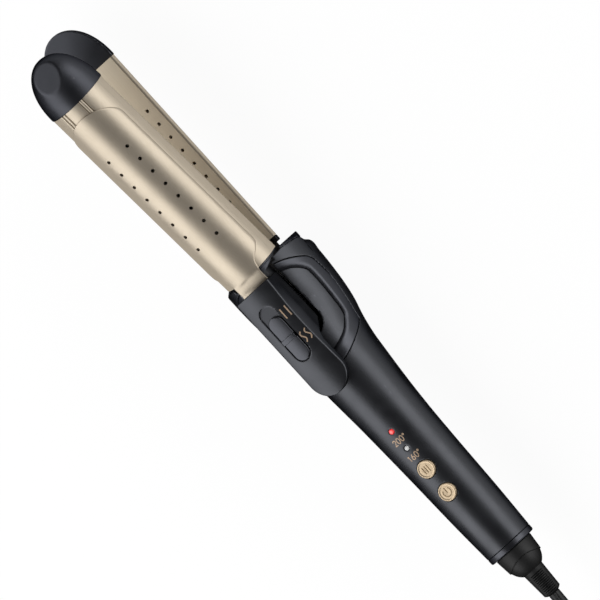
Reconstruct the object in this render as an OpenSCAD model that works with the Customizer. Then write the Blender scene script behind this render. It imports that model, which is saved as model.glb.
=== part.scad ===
// Two-in-one hot and cool-air styling iron: two half barrels that open like
// jaws, a spoon clamp on a thumb lever, and a handle with a swivelling cord.
// Lengths are millimetres. Pieces are drawn in the tool's own frame, with x = 0
// at the front face of the body, the axis of the closed barrel at z = 0, and
// the jaws shut; placing modules move them to where they stand at rest.

/* [Barrel] */
// Radius of the closed barrel
barrel_r = 16; // [14:0.5:18]
// Length of the gold half barrels
barrel_len = 112; // [90:1:130]
// Wall of the half barrels
barrel_wall = 1.2; // [1:0.1:2]
// Gap between the two flat faces when the jaws are shut
jaw_gap = 0.8; // [0.4:0.1:1.2]
// Thickness of the flat heated plates
plate_t = 3; // [2:0.5:4]
// Height of the front plate's side walls above the jaw gap's middle
plate_wall_h = 5.7; // [4.5:0.1:7]
// Length of the rounded tip caps
cap_len = 24.8; // [20:0.1:28]
// Slope of the flat facet on each tip cap, in degrees
facet_angle = 37; // [30:1:45]
// Distance from the cap's base to where its facet starts
facet_start = 10.5; // [7:0.1:12]
// Length of the dark collar behind each half barrel
collar_len = 3; // [2:0.5:5]
// Gap between the shut jaws' collars and the body
neck_gap = 2; // [1.5:0.5:4]
// Width of the fine grooves along the front half barrel
groove_w = 0.5; // [0.3:0.1:0.8]

/* [Air vents] */
// Radius of the vent holes
vent_r = 0.8; // [0.5:0.1:1.1]
// Distance of each row of plate vents from the middle
plate_vent_y = 10.4; // [8:0.1:11.5]
// Spacing of the plate vents
plate_vent_pitch = 8.1; // [6:0.1:10]
// Number of vents in each row of a plate
plate_vent_count = 9; // [5:1:9]
// Angle of each row of spoon vents from the top
spoon_vent_angle = 21.5; // [15:1:30]
// Spacing of the spoon vents
spoon_vent_pitch = 8.3; // [6:0.1:9]
// Number of vents in each row of the spoon
spoon_vent_count = 8; // [5:1:8]
// Distance of the first plate vents from the barrel's front end
plate_vent_start = 30; // [25:0.5:35]
// Distance of the first spoon vents from the barrel's front end
spoon_vent_start = 30.2; // [25:0.1:35]

/* [Spoon clamp] */
// Thickness of the spoon's sheet
spoon_t = 0.9; // [0.8:0.1:1.2]
// Gap between the spoon and the front half barrel
spoon_gap = 0.1; // [0.05:0.05:0.2]
// Distance from the barrel's front end to the spoon's tip
spoon_setback = 6.7; // [4:0.1:12]
// Half width of the spoon, seen from above
spoon_half_w = 14.2; // [13:0.1:15]
// Length of the spoon's rounded tip
spoon_tip_len = 11.3; // [8:0.1:16]
// Half width of the spoon's neck
neck_half_w = 8.1; // [6:0.1:8.2]

/* [Thumb lever] */
// Length of the lever
lever_len = 61.2; // [56:0.1:66]
// Half width of the lever's front
lever_half_w = 10.2; // [10:0.1:10.4]
// Half width of the lever's rounded tail
lever_tail_half_w = 10.4; // [9.8:0.1:11]
// Height of the lever's front top edge above the barrel's axis
lever_z = 24.7; // [24.3:0.1:25.2]
// Rise of the lever away from the barrel's line, in degrees
lever_tilt = 8.6; // [8:0.1:10]
// Thickness of the lever's thumb tab
lever_tab_t = 5.6; // [5:0.1:6]
// Depth of the lever's side walls
lever_wall_depth = 17.3; // [17:0.1:17.6]
// Thickness of the lever's top and sides
lever_t = 1.5; // [1.2:0.1:1.6]
// Width of the slot for the mode slide
slot_w = 9; // [7:0.1:11]
// Length of the slot for the mode slide
slot_len = 31.6; // [30:0.1:34]
// Distance from the lever's front to the slot
slot_start = 8.6; // [7:0.1:9.5]
// Place of the slot beside the lever's middle line
slot_y = -1; // [-2:0.1:0]
// Travel of the mode slide
slide_travel = 6; // [4:0.1:7]
// Height of the grip bar on the mode slide
grip_h = 1.6; // [1:0.1:2.5]

/* [Hinges] */
// Distance of the jaw hinge behind the body's front face
hinge_x = 35.1; // [34.5:0.1:36]
// Height of the jaw hinge relative to the barrel's axis
hinge_z = -10; // [-10.5:0.1:-9.5]
// Opening angle of the jaws at rest, in degrees
open_angle = 9.4; // [8:0.1:9.4]
// Distance of the clamp hinge behind the body's front face
clamp_x = 28.2; // [28:0.1:28.6]
// Height of the clamp hinge relative to the barrel's axis
clamp_z = 15.2; // [15:0.1:15.4]
// Radius of the jaw hinge pin
hinge_pin_r = 2; // [1.5:0.1:2.5]
// Radius of the clamp hinge pin
clamp_pin_r = 1.4; // [1:0.1:1.6]
// Running clearance of the hinge pins
pin_clear = 0.06; // [0.03:0.01:0.09]
// Thickness of the arm's two cheeks
cheek_t = 2.8; // [2:0.1:3]

/* [Body] */
// Height of the handle's axis above the flat belly
axis_h = 26; // [25:0.1:27]
// Largest radius of the body
bulge_r = 23.25; // [23:0.1:24]
// Height of the body's axis relative to the barrel's axis
bulge_z = -7.3; // [-7.5:0.1:-7]
// Length of the wide body
bulge_len = 66; // [64:0.5:70]
// Wall of the housings
wall = 2; // [1.6:0.1:2.2]
// Thickness of the front collar of the body
nose_t = 3; // [2:0.1:3.4]
// Thickness of the trim frame around the lever
bezel_t = 1.2; // [0.8:0.1:1.4]
// Half width of the body slot in which the lever moves
lever_slot_half_w = 11; // [10.8:0.1:11.4]
// Depth of the sunk panels beside the lever
pocket_depth = 1.4; // [1:0.1:1.6]
// Height of the join of the two housings relative to the barrel's axis
join_z = -5; // [-5.5:0.1:-4.5]

/* [Handle] */
// Length of the body and handle without the swivel
handle_end = 173; // [170:0.5:180]
// Radius of the handle at its thick end
handle_r = 17; // [16.8:0.1:17.4]
// Radius of the handle at its thin end
handle_end_r = 12.7; // [12:0.1:12.8]
// Place of the red heat lamp along the handle
hot_lamp_x = 98.6; // [96:0.1:101]
// Place of the white ready lamp along the handle
ready_lamp_x = 109; // [106:0.1:111]
// Radius of the two lamps
lamp_r = 1.3; // [1:0.1:1.6]
// Place of the mode button along the handle
mode_button_x = 122.2; // [121:0.1:124]
// Place of the power button along the handle
power_button_x = 136.5; // [135:0.1:138]
// Radius of the two buttons
button_r = 4.4; // [3.8:0.1:4.8]
// Travel of the two buttons
button_travel = 0.7; // [0.4:0.1:0.9]
// Height that the buttons stand proud of the handle
button_proud = 0.5; // [0.3:0.1:0.8]

/* [Fan] */
// Outer radius of the fan's shroud
shroud_r = 13; // [12.8:0.1:13.2]
// Radius of the fan's blades
fan_r = 11.4; // [10.5:0.1:11.5]
// Radius of the fan's hub
fan_hub_r = 4.5; // [4:0.1:5.5]
// Number of fan blades
fan_blades = 9; // [5:1:11]
// Height of the fan's axis relative to the barrel's axis
fan_z = -5; // [-5.3:0.1:-4.8]
// Radius of the fan motor
motor_r = 7; // [6:0.1:7.5]
// Length of the fan motor
motor_len = 16; // [12:0.5:17]

/* [Swivel and cord] */
// Thickness of the end ring
end_ring_t = 3; // [2.5:0.1:4]
// Radius of the swivel cap beside the end ring
swivel_r = 10.5; // [9.6:0.1:11]
// Length of the swivel cap
swivel_len = 13; // [12:0.1:15]
// Radius of the swivel's journal
journal_r = 6; // [5.8:0.1:6.5]
// Radius of the strain relief where it leaves the cap
relief_r = 5.4; // [5:0.1:5.6]
// Radius of the strain relief's tip
relief_tip_r = 4.6; // [4:0.1:4.8]
// Length of the strain relief outside the cap
relief_len = 14.8; // [14:0.1:20]
// Number of ribs on the strain relief
relief_ribs = 11; // [8:1:12]
// Diameter of the cord
cord_d = 6; // [5:0.1:6]

/* [Hidden] */
$fn = 64;

over = 1;                  // how far a cutting shape runs past what it cuts
seat = 0.1;                // clearance of a piece in the seat that holds it
half_gap = jaw_gap / 2;
collar_x = -neck_gap;      // rear face of the collars
barrel_x1 = collar_x - collar_len;
barrel_x0 = barrel_x1 - barrel_len;
barrel_bore_r = barrel_r - barrel_wall;
neck_r = barrel_bore_r - 1;
swivel_x = handle_end + end_ring_t + 0.3;
relief_x = swivel_x + swivel_len;
relief_end = relief_x + relief_len;
tip_x = barrel_x0 - cap_len;
nose_x = -(relief_end + tip_x) / 2;   // puts the origin under the middle
belly_z = -axis_h;

// Outline of the handle as [x, radius], from inside the body to its thin end
function handle_profile(inset) = [for (p = [
    [30, handle_r - 3.8], [38, handle_r - 2.2], [47, handle_r - 0.8],
    [56, handle_r - 0.1], [65, handle_r], [75, handle_r - 0.5],
    [87, handle_r - 1.2], [handle_end - 74, handle_r - 1.7],
    [handle_end - 51, handle_r - 2.5], [handle_end - 20, handle_end_r + 0.9],
    [handle_end, handle_end_r]
]) [p[0], p[1] - inset]];
// Radius of the handle at x, between the points of its outline
function handle_r_at(x) = lookup(x, handle_profile(0));

nose_r = 20.9;             // the lower shell's front end, up to its shoulder
nose_len = 5;
brow_chamfer = 2;          // front edge of the upper shell
shoulder_x = 8;
// Outline of the wide body: place along it from its shoulder, loss of radius
bulge_shape = [
    [0, 0], [0.1, 0.1], [0.21, 0.4], [0.31, 0.85], [0.41, 1.45], [0.5, 2.2],
    [0.59, 3.25], [0.66, 4.4], [0.74, 5.65], [0.83, 7], [0.91, 8.15], [1, 9.05]
];
bulge_end_r = bulge_r - bulge_shape[11][1];
// The wide body's tail under the handle: distance behind it and loss of radius
bulge_tail = [[8, 1.2], [24, 3.4], [40, 5.8], [48, 7.2]];

// Lowest height of the body at x, on the middle line
function under_z(x) = -max(handle_r_at(x), -bulge_z + lookup(x, concat(
    [[bulge_len, bulge_end_r]],
    [for (p = bulge_tail) [bulge_len + p[0], bulge_end_r - p[1]]])));

module tool() translate([nose_x, 0, axis_h]) children();
module turn_y(x, z, angle)
    translate([x, 0, z]) rotate([0, angle, 0]) translate([-x, 0, -z]) children();
module on_arm() tool() turn_y(hinge_x, hinge_z, open_angle) children();
module on_lever() on_arm()
    translate([lever_x, 0, lever_z]) rotate([0, -lever_tilt, 0]) children();
lever_x = 1.6;             // place of the lever's front edge

module block(x0, x1, half_y, z0, z1)
    translate([x0, -half_y, z0]) cube([x1 - x0, 2 * half_y, z1 - z0]);
module x_rod(x0, x1, r, z = 0)
    translate([x0, 0, z]) rotate([0, 90, 0]) cylinder(h = x1 - x0, r = r);
module y_rod(y0, y1, r, x, z)
    translate([x, y0, z]) rotate([-90, 0, 0]) cylinder(h = y1 - y0, r = r);
module z_rod(z0, z1, r, x, y = 0)
    translate([x, y, z0]) cylinder(h = z1 - z0, r = r);
module revolve_x(profile)
    rotate([0, 90, 0]) rotate_extrude()
        polygon([for (p = profile) [p[1], p[0]]]);
module side_shape(half_y)
    rotate([90, 0, 0]) linear_extrude(2 * half_y, center = true) children();
module both_sides() {
    children();
    mirror([0, 1, 0]) children();
}

// ---------------------------------------------------------------- the body

module body_solid(inset) {
    bulge = concat(
        [for (p = bulge_shape)
            [shoulder_x + (bulge_len - shoulder_x) * p[0], bulge_r - p[1] - inset]],
        [for (p = bulge_tail) [bulge_len + p[0], bulge_end_r - p[1] - inset]],
        [[bulge_len + bulge_tail[3][0], 0]]);
    intersection() {
        union() {
            translate([0, 0, bulge_z]) revolve_x(concat(
                [[0, 0], [0, nose_r - inset], [nose_len, nose_r - inset]], bulge));
            // the upper shell reaches forward to the front face at full width
            intersection() {
                translate([0, 0, bulge_z]) revolve_x([
                    [0, 0], [0, nose_r - inset],
                    [brow_chamfer, bulge_r - 0.1 - inset],
                    [shoulder_x, bulge_r - inset], [shoulder_x, 0]]);
                block(-over, shoulder_x, 2 * bulge_r, join_z + inset, 2 * bulge_r);
            }
            revolve_x(concat(
                [[30, 0]],
                [for (p = handle_profile(inset)) p],
                [[handle_end, 0]]));
        }
        block(-over, handle_end + over, 2 * bulge_r,
              belly_z + inset, 2 * bulge_r);
    }
}

// Sunk panels on both sides of the lever, grown by more
module pocket(more = 0) intersection() {
    difference() {
        body_solid(-over);
        body_solid(pocket_depth + more);
    }
    translate([0, 0, join_z]) linear_extrude(2 * bulge_r)
        polygon(frame_outline(pocket_w + more, pocket_back_w + more,
                              pocket_x0 - more, pocket_x1 + more));
}

// Plan of the trim frame's edge: half width w at the front, w_back behind
function frame_outline(w, w_back, x0, x1) = let (side = [
        [x0, w * 0.5], [x0 + 4, w * 0.85], [x0 + 9, w * 0.99], [x0 + 13, w],
        [x1 - 13, w_back], [x1 - 10, w_back * 0.94], [x1 - 4.6, w_back * 0.8],
        [x1 - 1, w_back * 0.42], [x1, 0]
    ]) concat(side, [for (i = [len(side) - 2 : -1 : 0]) [side[i][0], -side[i][1]]]);

bezel_w = 22.3;
bezel_back_w = 18.4;
bezel_x0 = 4.4;
bezel_x1 = 60;
pocket_w = 20.6;
pocket_back_w = 18.2;
pocket_x0 = 6.8;
pocket_x1 = 54.5;

// The band of the body's skin that the trim frame fills
module bezel_band(depth) intersection() {
    difference() {
        body_solid(0);
        body_solid(depth);
    }
    translate([0, 0, join_z + over]) linear_extrude(2 * bulge_r) difference() {
        polygon(frame_outline(bezel_w, bezel_back_w, bezel_x0, bezel_x1));
        polygon(frame_outline(pocket_w, pocket_back_w, pocket_x0, pocket_x1));
    }
}

opening_x1 = 43;
opening_corner_r = 4;
module lever_opening() {
    translate([0, 0, join_z + over]) linear_extrude(2 * bulge_r) hull() {
        translate([nose_t, -lever_slot_half_w]) square([over, 2 * lever_slot_half_w]);
        for (side = [-1, 1])
            translate([opening_x1 - opening_corner_r,
                       side * (lever_slot_half_w - opening_corner_r)])
                circle(r = opening_corner_r);
    }
    block(-over, nose_t + seat, barrel_r + 0.4, -half_gap, 2 * bulge_r);
}

// The front of the body that the nose collar fills; its seam slants forward
module nose_zone() side_shape(2 * bulge_r) polygon([
    [-over, -2 * bulge_r], [nose_t, -2 * bulge_r], [nose_t, join_z],
    [seam_top_x, seam_top_z], [-over, seam_top_z + 2]
]);
seam_top_x = 0.8;
seam_top_z = 12;

// Everything above the join line, which climbs to the axis along the handle
module above_join() side_shape(2 * bulge_r) polygon([
    [-over, join_z], [50, join_z], [90, 0], [handle_end + over, 0],
    [handle_end + over, 40], [-over, 40]
]);

module hollow_body() difference() {
    body_solid(0);
    pocket();
    difference() {
        union() {
            body_solid(wall);
            block(0, nose_t + over, bulge_r - wall - 3, -20, 8);
            x_rod(handle_end - over, handle_end + over, handle_end_r - wall);
        }
        pocket(wall);
    }
    nose_zone();
    lever_opening();
    bezel_band(bezel_t);
}

screw_x = [80, 160];
belly_screw_x = 20;
belly_screw_y = 16.5;
screw_r = 1.3;
boss_r = 2.9;

module screw_places() {
    for (x = screw_x) translate([x, 0, 0]) children();
    both_sides() translate([belly_screw_x, belly_screw_y, 0]) children();
}

module upper_housing() color("#1b1d22") tool() {
    difference() {
        union() {
            intersection() {
                hollow_body();
                above_join();
            }
            intersection() {
                union() {
                    for (x = screw_x) z_rod(join_z, 20, boss_r, x);
                    both_sides() z_rod(join_z, 20, boss_r, belly_screw_x, belly_screw_y);
                }
                above_join();
                difference() {
                    body_solid(wall / 2);
                    pocket(wall / 2);
                }
            }
        }
        screw_places() z_rod(-40, 1.5, screw_r, 0);
        z_rod(0, 2 * bulge_r, lamp_r + seat, hot_lamp_x);
        z_rod(0, 2 * bulge_r, lamp_r + seat, ready_lamp_x);
        z_rod(0, 2 * bulge_r, button_r + 0.2, mode_button_x);
        z_rod(0, 2 * bulge_r, button_r + 0.2, power_button_x);
    }
}

module lower_housing() color("#1b1d22") tool() {
    difference() {
        union() {
            difference() {
                hollow_body();
                above_join();
            }
            intersection() {
                union() {
                    for (x = screw_x) z_rod(-40, join_z + 5, boss_r, x);
                    both_sides()
                        z_rod(-40, join_z, boss_r, belly_screw_x, belly_screw_y);
                    hinge_webs();
                    carrier_saddles();
                }
                body_solid(wall / 2);
                lower_room();
            }
        }
        screw_places() z_rod(-40, 2, screw_r + 0.1, 0);
        for (x = screw_x) z_rod(-40, handle_head_z(x), screw_head_r + 0.2, x);
        both_sides() z_rod(-40, belly_z + belly_head_depth, screw_head_r + 0.2,
                           belly_screw_x, belly_screw_y);
        y_rod(-20, 20, hinge_pin_r, hinge_x, hinge_z);
        air_intake();
    }
}

screw_head_r = 2.3;
screw_head_t = 1.4;
belly_head_depth = 7.5;    // the belly's screw heads sit up in deep pockets
function handle_head_z(x) = under_z(x) + 4.2;
web_y = 10.6;
web_half_t = 1.4;

// Webs that hold the jaw hinge pin
module hinge_webs() both_sides() translate([0, web_y, 0])
    block(hinge_x - 6, hinge_x + 6, web_half_t, -40, join_z);

// Saddles under the carrier of the rear half barrel
module carrier_saddles() for (x = [5, 14]) difference() {
    block(x, x + 2, 11, -40, join_z);
    x_rod(x - over, x + 3, neck_r + 0.05);
}

// The room below the join line, for what stands up from the lower housing
module lower_room() difference() {
    block(nose_t, handle_end, 2 * bulge_r, -40, 40);
    above_join();
}

intake_x = 54;
intake_slots = 6;
intake_pitch = 3.6;
module air_intake() for (i = [0 : intake_slots - 1])
    translate([intake_x + intake_pitch * i, 0, 0]) block(0, 2, 8, -40, -15);

module intake_screen() color("#15161a") tool() difference() {
    intersection() {
        difference() {
            body_solid(wall);
            body_solid(wall + 0.6);
        }
        block(intake_x - 1.5, intake_x + intake_pitch * intake_slots - 1, 9, -40, -12);
    }
    for (i = [0 : 4 * intake_slots - 4], side = [-1, 1])
        translate([intake_x + 0.9 * i, side * 4.4, 0])
            block(0, 0.45, 3.4, -40, -10);
}

module nose_collar() color("#202227") tool() difference() {
    intersection() {
        body_solid(0);
        nose_zone();
    }
    x_rod(-over, nose_t + over, neck_r + 0.2);
    lever_opening();
}

module lever_bezel() color("#24262b") tool() difference() {
    bezel_band(bezel_t);
    lever_opening();
}

module end_ring() color("#202227") tool() difference() {
    union() {
        revolve_x([[handle_end, 0], [handle_end, handle_end_r],
                   [handle_end + end_ring_t - 0.8, handle_end_r],
                   [handle_end + end_ring_t, handle_end_r - 0.8],
                   [handle_end + end_ring_t, 0]]);
        x_rod(handle_end - 3, handle_end, handle_end_r - wall - seat);
    }
    x_rod(handle_end - 4, handle_end + end_ring_t + over, journal_r + 0.05);
}

module housing_screws() color("#8a8d92") tool() {
    for (x = screw_x) housing_screw(x, 0, handle_head_z(x), 0.8);
    for (side = [-1, 1]) housing_screw(
        belly_screw_x, side * belly_screw_y, belly_z + belly_head_depth, -0.5);
}

module housing_screw(x, y, head_z, tip_z) translate([x, y, 0]) difference() {
    union() {
        z_rod(head_z, tip_z, screw_r - 0.05, 0);
        z_rod(head_z - screw_head_t, head_z, screw_head_r, 0);
    }
    translate([0, 0, head_z - screw_head_t - over]) linear_extrude(over + 0.7) {
        square([2.6, 0.6], center = true);
        square([0.6, 2.6], center = true);
    }
}

// ------------------------------------------------------ the rear half barrel

module half_space_below(z) block(-300, 300, 100, -100, z);
module half_space_above(z) block(-300, 300, 100, z, 100);

module plate_vents() for (i = [0 : plate_vent_count - 1]) both_sides()
    z_rod(-30, 30, vent_r, barrel_x0 + plate_vent_start + plate_vent_pitch * i,
          plate_vent_y);

module rear_barrel() color("#b8aa96") tool() intersection() {
    difference() {
        x_rod(barrel_x0, barrel_x1, barrel_r);
        x_rod(barrel_x0 - over, barrel_x1 + over, barrel_bore_r);
    }
    half_space_below(-half_gap);
}

module rear_plate() color("#cfc3b0") tool() difference() {
    intersection() {
        x_rod(barrel_x0, barrel_x1, barrel_bore_r);
        block(barrel_x0, barrel_x1, barrel_r, -half_gap - plate_t, -half_gap);
    }
    plate_vents();
}

cap_r = barrel_r + 0.4;
cap_fullness = 2.15;       // 2 is an ellipse, more is fuller

// Rounded cap on the end of a half barrel, drawn as the upper one
module tip_cap() {
    edge = [for (a = [0 : 7.5 : 90])
        [barrel_x0 - cap_len * pow(sin(a), 2 / cap_fullness),
         cap_r * pow(cos(a), 2 / cap_fullness)]];
    facet_z = cap_r * pow(1 - pow(facet_start / cap_len, cap_fullness),
                          1 / cap_fullness);
    intersection() {
        difference() {
            revolve_x(concat([[barrel_x0, 0]], edge));
            translate([barrel_x0 - facet_start, 0, facet_z])
                rotate([0, -facet_angle, 0]) block(-40, 20, cap_r, 0, 20);
        }
        half_space_above(half_gap);
    }
    intersection() {
        difference() {
            x_rod(barrel_x0, barrel_x0 + 6, barrel_bore_r - seat);
            x_rod(barrel_x0 - over, barrel_x0 + 7, barrel_bore_r - 2);
        }
        half_space_above(plate_wall_h + 0.1);
    }
}

module rear_tip_cap() color("#1f2024") tool() mirror([0, 0, 1]) tip_cap();

module collar_ring() difference() {
    revolve_x([[barrel_x1, 0], [barrel_x1, barrel_r], [collar_x - 0.8, barrel_r],
               [collar_x, barrel_r - 0.8], [collar_x, 0]]);
    x_rod(barrel_x1 - over, collar_x + over, neck_r + 0.05);
}

module rear_collar() color("#1f2024") tool() intersection() {
    collar_ring();
    half_space_below(-half_gap);
}

// Trough that carries the rear half barrel and leads air into it
module rear_carrier() color("#2a2b2e") tool() intersection() {
    difference() {
        union() {
            x_rod(barrel_x1 - 14, barrel_x1, barrel_bore_r);
            x_rod(barrel_x1, 18, neck_r);
        }
        x_rod(barrel_x1 - 15, 19, neck_r - 2);
    }
    half_space_below(-half_gap - plate_t);
}

heater_w = 7;
heater_t = 3.2;
heater_start = 8;
heater_len = 30;
heater_pitch = 33;
// Three ceramic blocks in a row and the strip that joins them
module heater(z) {
    x0 = barrel_x0 + heater_start;
    for (i = [0 : 2])
        block(x0 + heater_pitch * i, x0 + heater_pitch * i + heater_len, heater_w,
              z, z + heater_t);
    block(x0, x0 + 2 * heater_pitch + heater_len, 2, z + heater_t - 0.4, z + heater_t);
}

module rear_heater() color("#d8d4c8") tool() mirror([0, 0, 1])
    heater(half_gap + plate_t);

// --------------------------------------------------- the front, hinged, half

front_reach = 1.6;         // the front half reaches further back than the rear one
front_x1 = barrel_x1 + front_reach;
groove_angles = [17, 24.5];
module front_barrel() color("#b8aa96") on_arm() difference() {
    x_rod(barrel_x0, front_x1, barrel_r);
    x_rod(barrel_x0 - over, front_x1 + over, barrel_bore_r);
    half_space_below(plate_wall_h);
    for (a = groove_angles, side = [-1, 1]) rotate([side * a, 0, 0])
        block(barrel_x0 - over, front_x1 + over, groove_w / 2, barrel_r - 0.3, barrel_r + over);
    spoon_vents();
}

// Two rows of vents through the spoon and the half barrel under it
module spoon_vents() for (i = [0 : spoon_vent_count - 1], side = [-1, 1])
    rotate([side * spoon_vent_angle, 0, 0])
        z_rod(0, 30, vent_r, barrel_x0 + spoon_vent_start + spoon_vent_pitch * i);

module front_plate() color("#cfc3b0") on_arm() difference() {
    intersection() {
        x_rod(barrel_x0, front_x1, barrel_r);
        block(barrel_x0, front_x1, barrel_r, half_gap, plate_wall_h);
    }
    intersection() {
        x_rod(barrel_x0 - over, front_x1 + over, barrel_bore_r);
        half_space_above(half_gap + plate_t);
    }
    plate_vents();
}

module front_tip_cap() color("#1f2024") on_arm() tip_cap();

module front_collar() color("#1f2024") on_arm() intersection() {
    collar_ring();
    block(front_x1, collar_x, barrel_r, half_gap, barrel_r);
}

root_half_w = 8;
cheek_y = root_half_w - cheek_t;

module cheek_outline() {
    polygon([[neck_end, 3], [neck_end, 13.2], [tongue_x + 2, 13.2],
             [clamp_x - 3, clamp_z + 1.4],
             [clamp_x + 3.4, clamp_z], [hinge_x + 5.4, hinge_z],
             [hinge_x - 5.4, hinge_z], [19, 3]]);
    translate([clamp_x, clamp_z]) circle(r = 3.4);
    translate([hinge_x, hinge_z]) circle(r = 5.4);
}
neck_end = 3;

// Two cheeks on a hollow neck that plugs into the front half barrel
module arm_root() color("#1f2024") on_arm() difference() {
    union() {
        intersection() {
            difference() {
                union() {
                    x_rod(barrel_x1 - 14, front_x1, barrel_bore_r);
                    x_rod(front_x1, collar_x + 0.6, neck_r);
                }
                x_rod(barrel_x1 - 15, collar_x + 2, neck_r - 2);
            }
            half_space_above(half_gap + plate_t);
        }
        difference() {
            intersection() {
                block(collar_x, neck_end, root_half_w, half_gap + plate_t, 13.2);
                x_rod(collar_x, neck_end, neck_r);
            }
            block(collar_x - over, neck_end + over, cheek_y, 0, 11.2);
        }
        both_sides() translate([0, root_half_w - cheek_t / 2, 0])
            side_shape(cheek_t / 2) cheek_outline();
    }
    y_rod(-20, 20, hinge_pin_r + pin_clear, hinge_x, hinge_z);
    y_rod(-20, 20, clamp_pin_r, clamp_x, clamp_z);
}

module front_heater() color("#d8d4c8") on_arm() heater(half_gap + plate_t);

module jaw_hinge_pin() color("#9a9ca0") tool()
    y_rod(-web_y - web_half_t, web_y + web_half_t, hinge_pin_r, hinge_x, hinge_z);

module clamp_hinge_pin() color("#9a9ca0") on_arm()
    y_rod(-lever_half_w + 0.4, lever_half_w - 0.4, clamp_pin_r, clamp_x, clamp_z);

// Close-wound spring on a pin, with one leg each way
module coil_spring(pin_r, turns, wire_r) {
    ring_r = pin_r + 0.6 + wire_r;
    rotate([90, 0, 0]) rotate_extrude() {
        for (i = [0 : turns - 1])
            translate([ring_r, (2 * i - turns + 1) * wire_r * 0.95]) circle(r = wire_r);
        translate([ring_r - wire_r * 0.4, -turns * wire_r * 0.8])
            square([wire_r * 0.8, turns * wire_r * 1.6]);
    }
}

module jaw_spring() color("#9a9ca0") tool() translate([hinge_x, 0, hinge_z])
    coil_spring(hinge_pin_r, 6, 0.7);

module clamp_spring() color("#9a9ca0") on_arm() translate([clamp_x, 0, clamp_z])
    coil_spring(clamp_pin_r, 8, 0.5);

// ---------------------------------------------------------- the spoon clamp

spoon_in_r = barrel_r + spoon_gap;
spoon_out_r = spoon_in_r + spoon_t;
spoon_x0 = barrel_x0 + spoon_setback;
spoon_back_x = barrel_x1 - 7.5;
tongue_x = 13;             // the neck ends inside the lever

module spoon_plan() {
    tip = [for (a = [0 : 9 : 90])
        [spoon_x0 + spoon_tip_len * (1 - cos(a)), spoon_half_w * sin(a)]];
    back = [[spoon_back_x, spoon_half_w], [spoon_back_x + 2, spoon_half_w - 1],
            [spoon_back_x + 4, spoon_half_w - 3.4], [spoon_back_x + 6, neck_half_w + 1],
            [spoon_back_x + 8.5, neck_half_w], [tongue_x, neck_half_w]];
    side = concat(tip, back);
    polygon(concat(side, [for (i = [len(side) - 1 : -1 : 1]) [side[i][0], -side[i][1]]]));
}

clamp_screw_x = [6.5, 10.5];
module clamp_spoon() color("#b8aa96") on_arm() difference() {
    intersection() {
        difference() {
            x_rod(spoon_x0, tongue_x, spoon_out_r);
            x_rod(spoon_x0 - over, tongue_x + over, spoon_in_r);
        }
        linear_extrude(2 * barrel_r) spoon_plan();
    }
    spoon_vents();
    for (x = clamp_screw_x) z_rod(0, 30, 1.1, x);
}

// Side view of the lever: length along x, top at z = 0
module lever_side() polygon([
    [0.8, 0], [lever_len - 1.5, 0], [lever_len, -1.5], [lever_len, -lever_tab_t + 1.2],
    [lever_len - 1.2, -lever_tab_t], [38, -lever_tab_t], [34, -lever_tab_t - 2.4],
    [28.5, -lever_wall_depth], [20, -lever_wall_depth], [1, 1 - lever_wall_depth],
    [0, -lever_wall_depth + 2], [0, -0.8]
]);

module lever_plan(inset) {
    tail_x = lever_len - lever_tail_half_w;
    polygon([[inset, -lever_half_w + inset], [tail_x, -lever_tail_half_w + inset],
             [tail_x, lever_tail_half_w - inset], [inset, lever_half_w - inset]]);
    translate([tail_x, 0]) circle(r = lever_tail_half_w - inset);
}

module slot_shape(x0, length, width) {
    translate([x0 + width / 2, -width / 2]) square([length - width, width]);
    for (x = [x0 + width / 2, x0 + length - width / 2])
        translate([x, 0]) circle(r = width / 2);
}

recess_t = 1.2;
shank_w = 4;
shank_x = slot_start + slot_len - 17;  // front of the slide's shank
shank_len = 7;

// What lies under the lever's crowned top, raised by more
crown_r = 26;
module under_crown(more = 0) x_rod(-over, lever_len + over, crown_r + more, -crown_r);

module thumb_lever() color("#1b1d22") on_lever() difference() {
    intersection() {
        translate([0, 0, -20]) linear_extrude(20) lever_plan(0);
        side_shape(2 * lever_half_w) lever_side();
        under_crown();
    }
    // the hollow under the top
    difference() {
        intersection() {
            translate([0, 0, -20]) linear_extrude(20) lever_plan(lever_t);
            under_crown(-lever_top_t);
        }
        block(44, lever_len, 12, -20, 0);
        for (x = clamp_screw_x) from_arm() z_rod(spoon_out_r, 30, 2.4, x);
    }
    for (x = clamp_screw_x) from_arm() z_rod(0, clamp_screw_top(x), 1, x);
    // the neck of the spoon passes through the front wall
    block(-over, lever_t + over, neck_half_w + 0.2, -20, spoon_out_r - lever_z + 0.3);
    translate([0, slot_y, -recess_t]) linear_extrude(5)
        slot_shape(slot_start, slot_len, slot_w);
    translate([0, slot_y, -6]) linear_extrude(10)
        slot_shape(shank_x - slide_travel - 0.4, shank_len + slide_travel + 0.8,
                   shank_w + 0.4);
    clamp_eyes();
}
lever_top_t = recess_t + 1.2;
// The tips of the clamp's screws end inside the lever's bosses
function clamp_screw_top(x) = lever_z - 1.6 + (x - lever_x) * tan(lever_tilt);
// Puts what is drawn in the arm's frame into the lever's own frame
module from_arm()
    rotate([0, lever_tilt, 0]) translate([-lever_x, 0, -lever_z]) children();

// The clamp hinge's eyes, in the lever's own frame
clamp_in_lever = let (dx = clamp_x - lever_x, dz = clamp_z - lever_z)
    [dx * cos(lever_tilt) + dz * sin(lever_tilt),
     -dx * sin(lever_tilt) + dz * cos(lever_tilt)];
module clamp_eyes()
    y_rod(-20, 20, clamp_pin_r + pin_clear, clamp_in_lever[0], clamp_in_lever[1]);

module clamp_screws() color("#8a8d92") on_arm() for (x = clamp_screw_x) {
    z_rod(spoon_in_r - 1.1, spoon_in_r - 0.1, 1.9, x);
    z_rod(spoon_in_r - 0.1, clamp_screw_top(x), 1, x);
}

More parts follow.
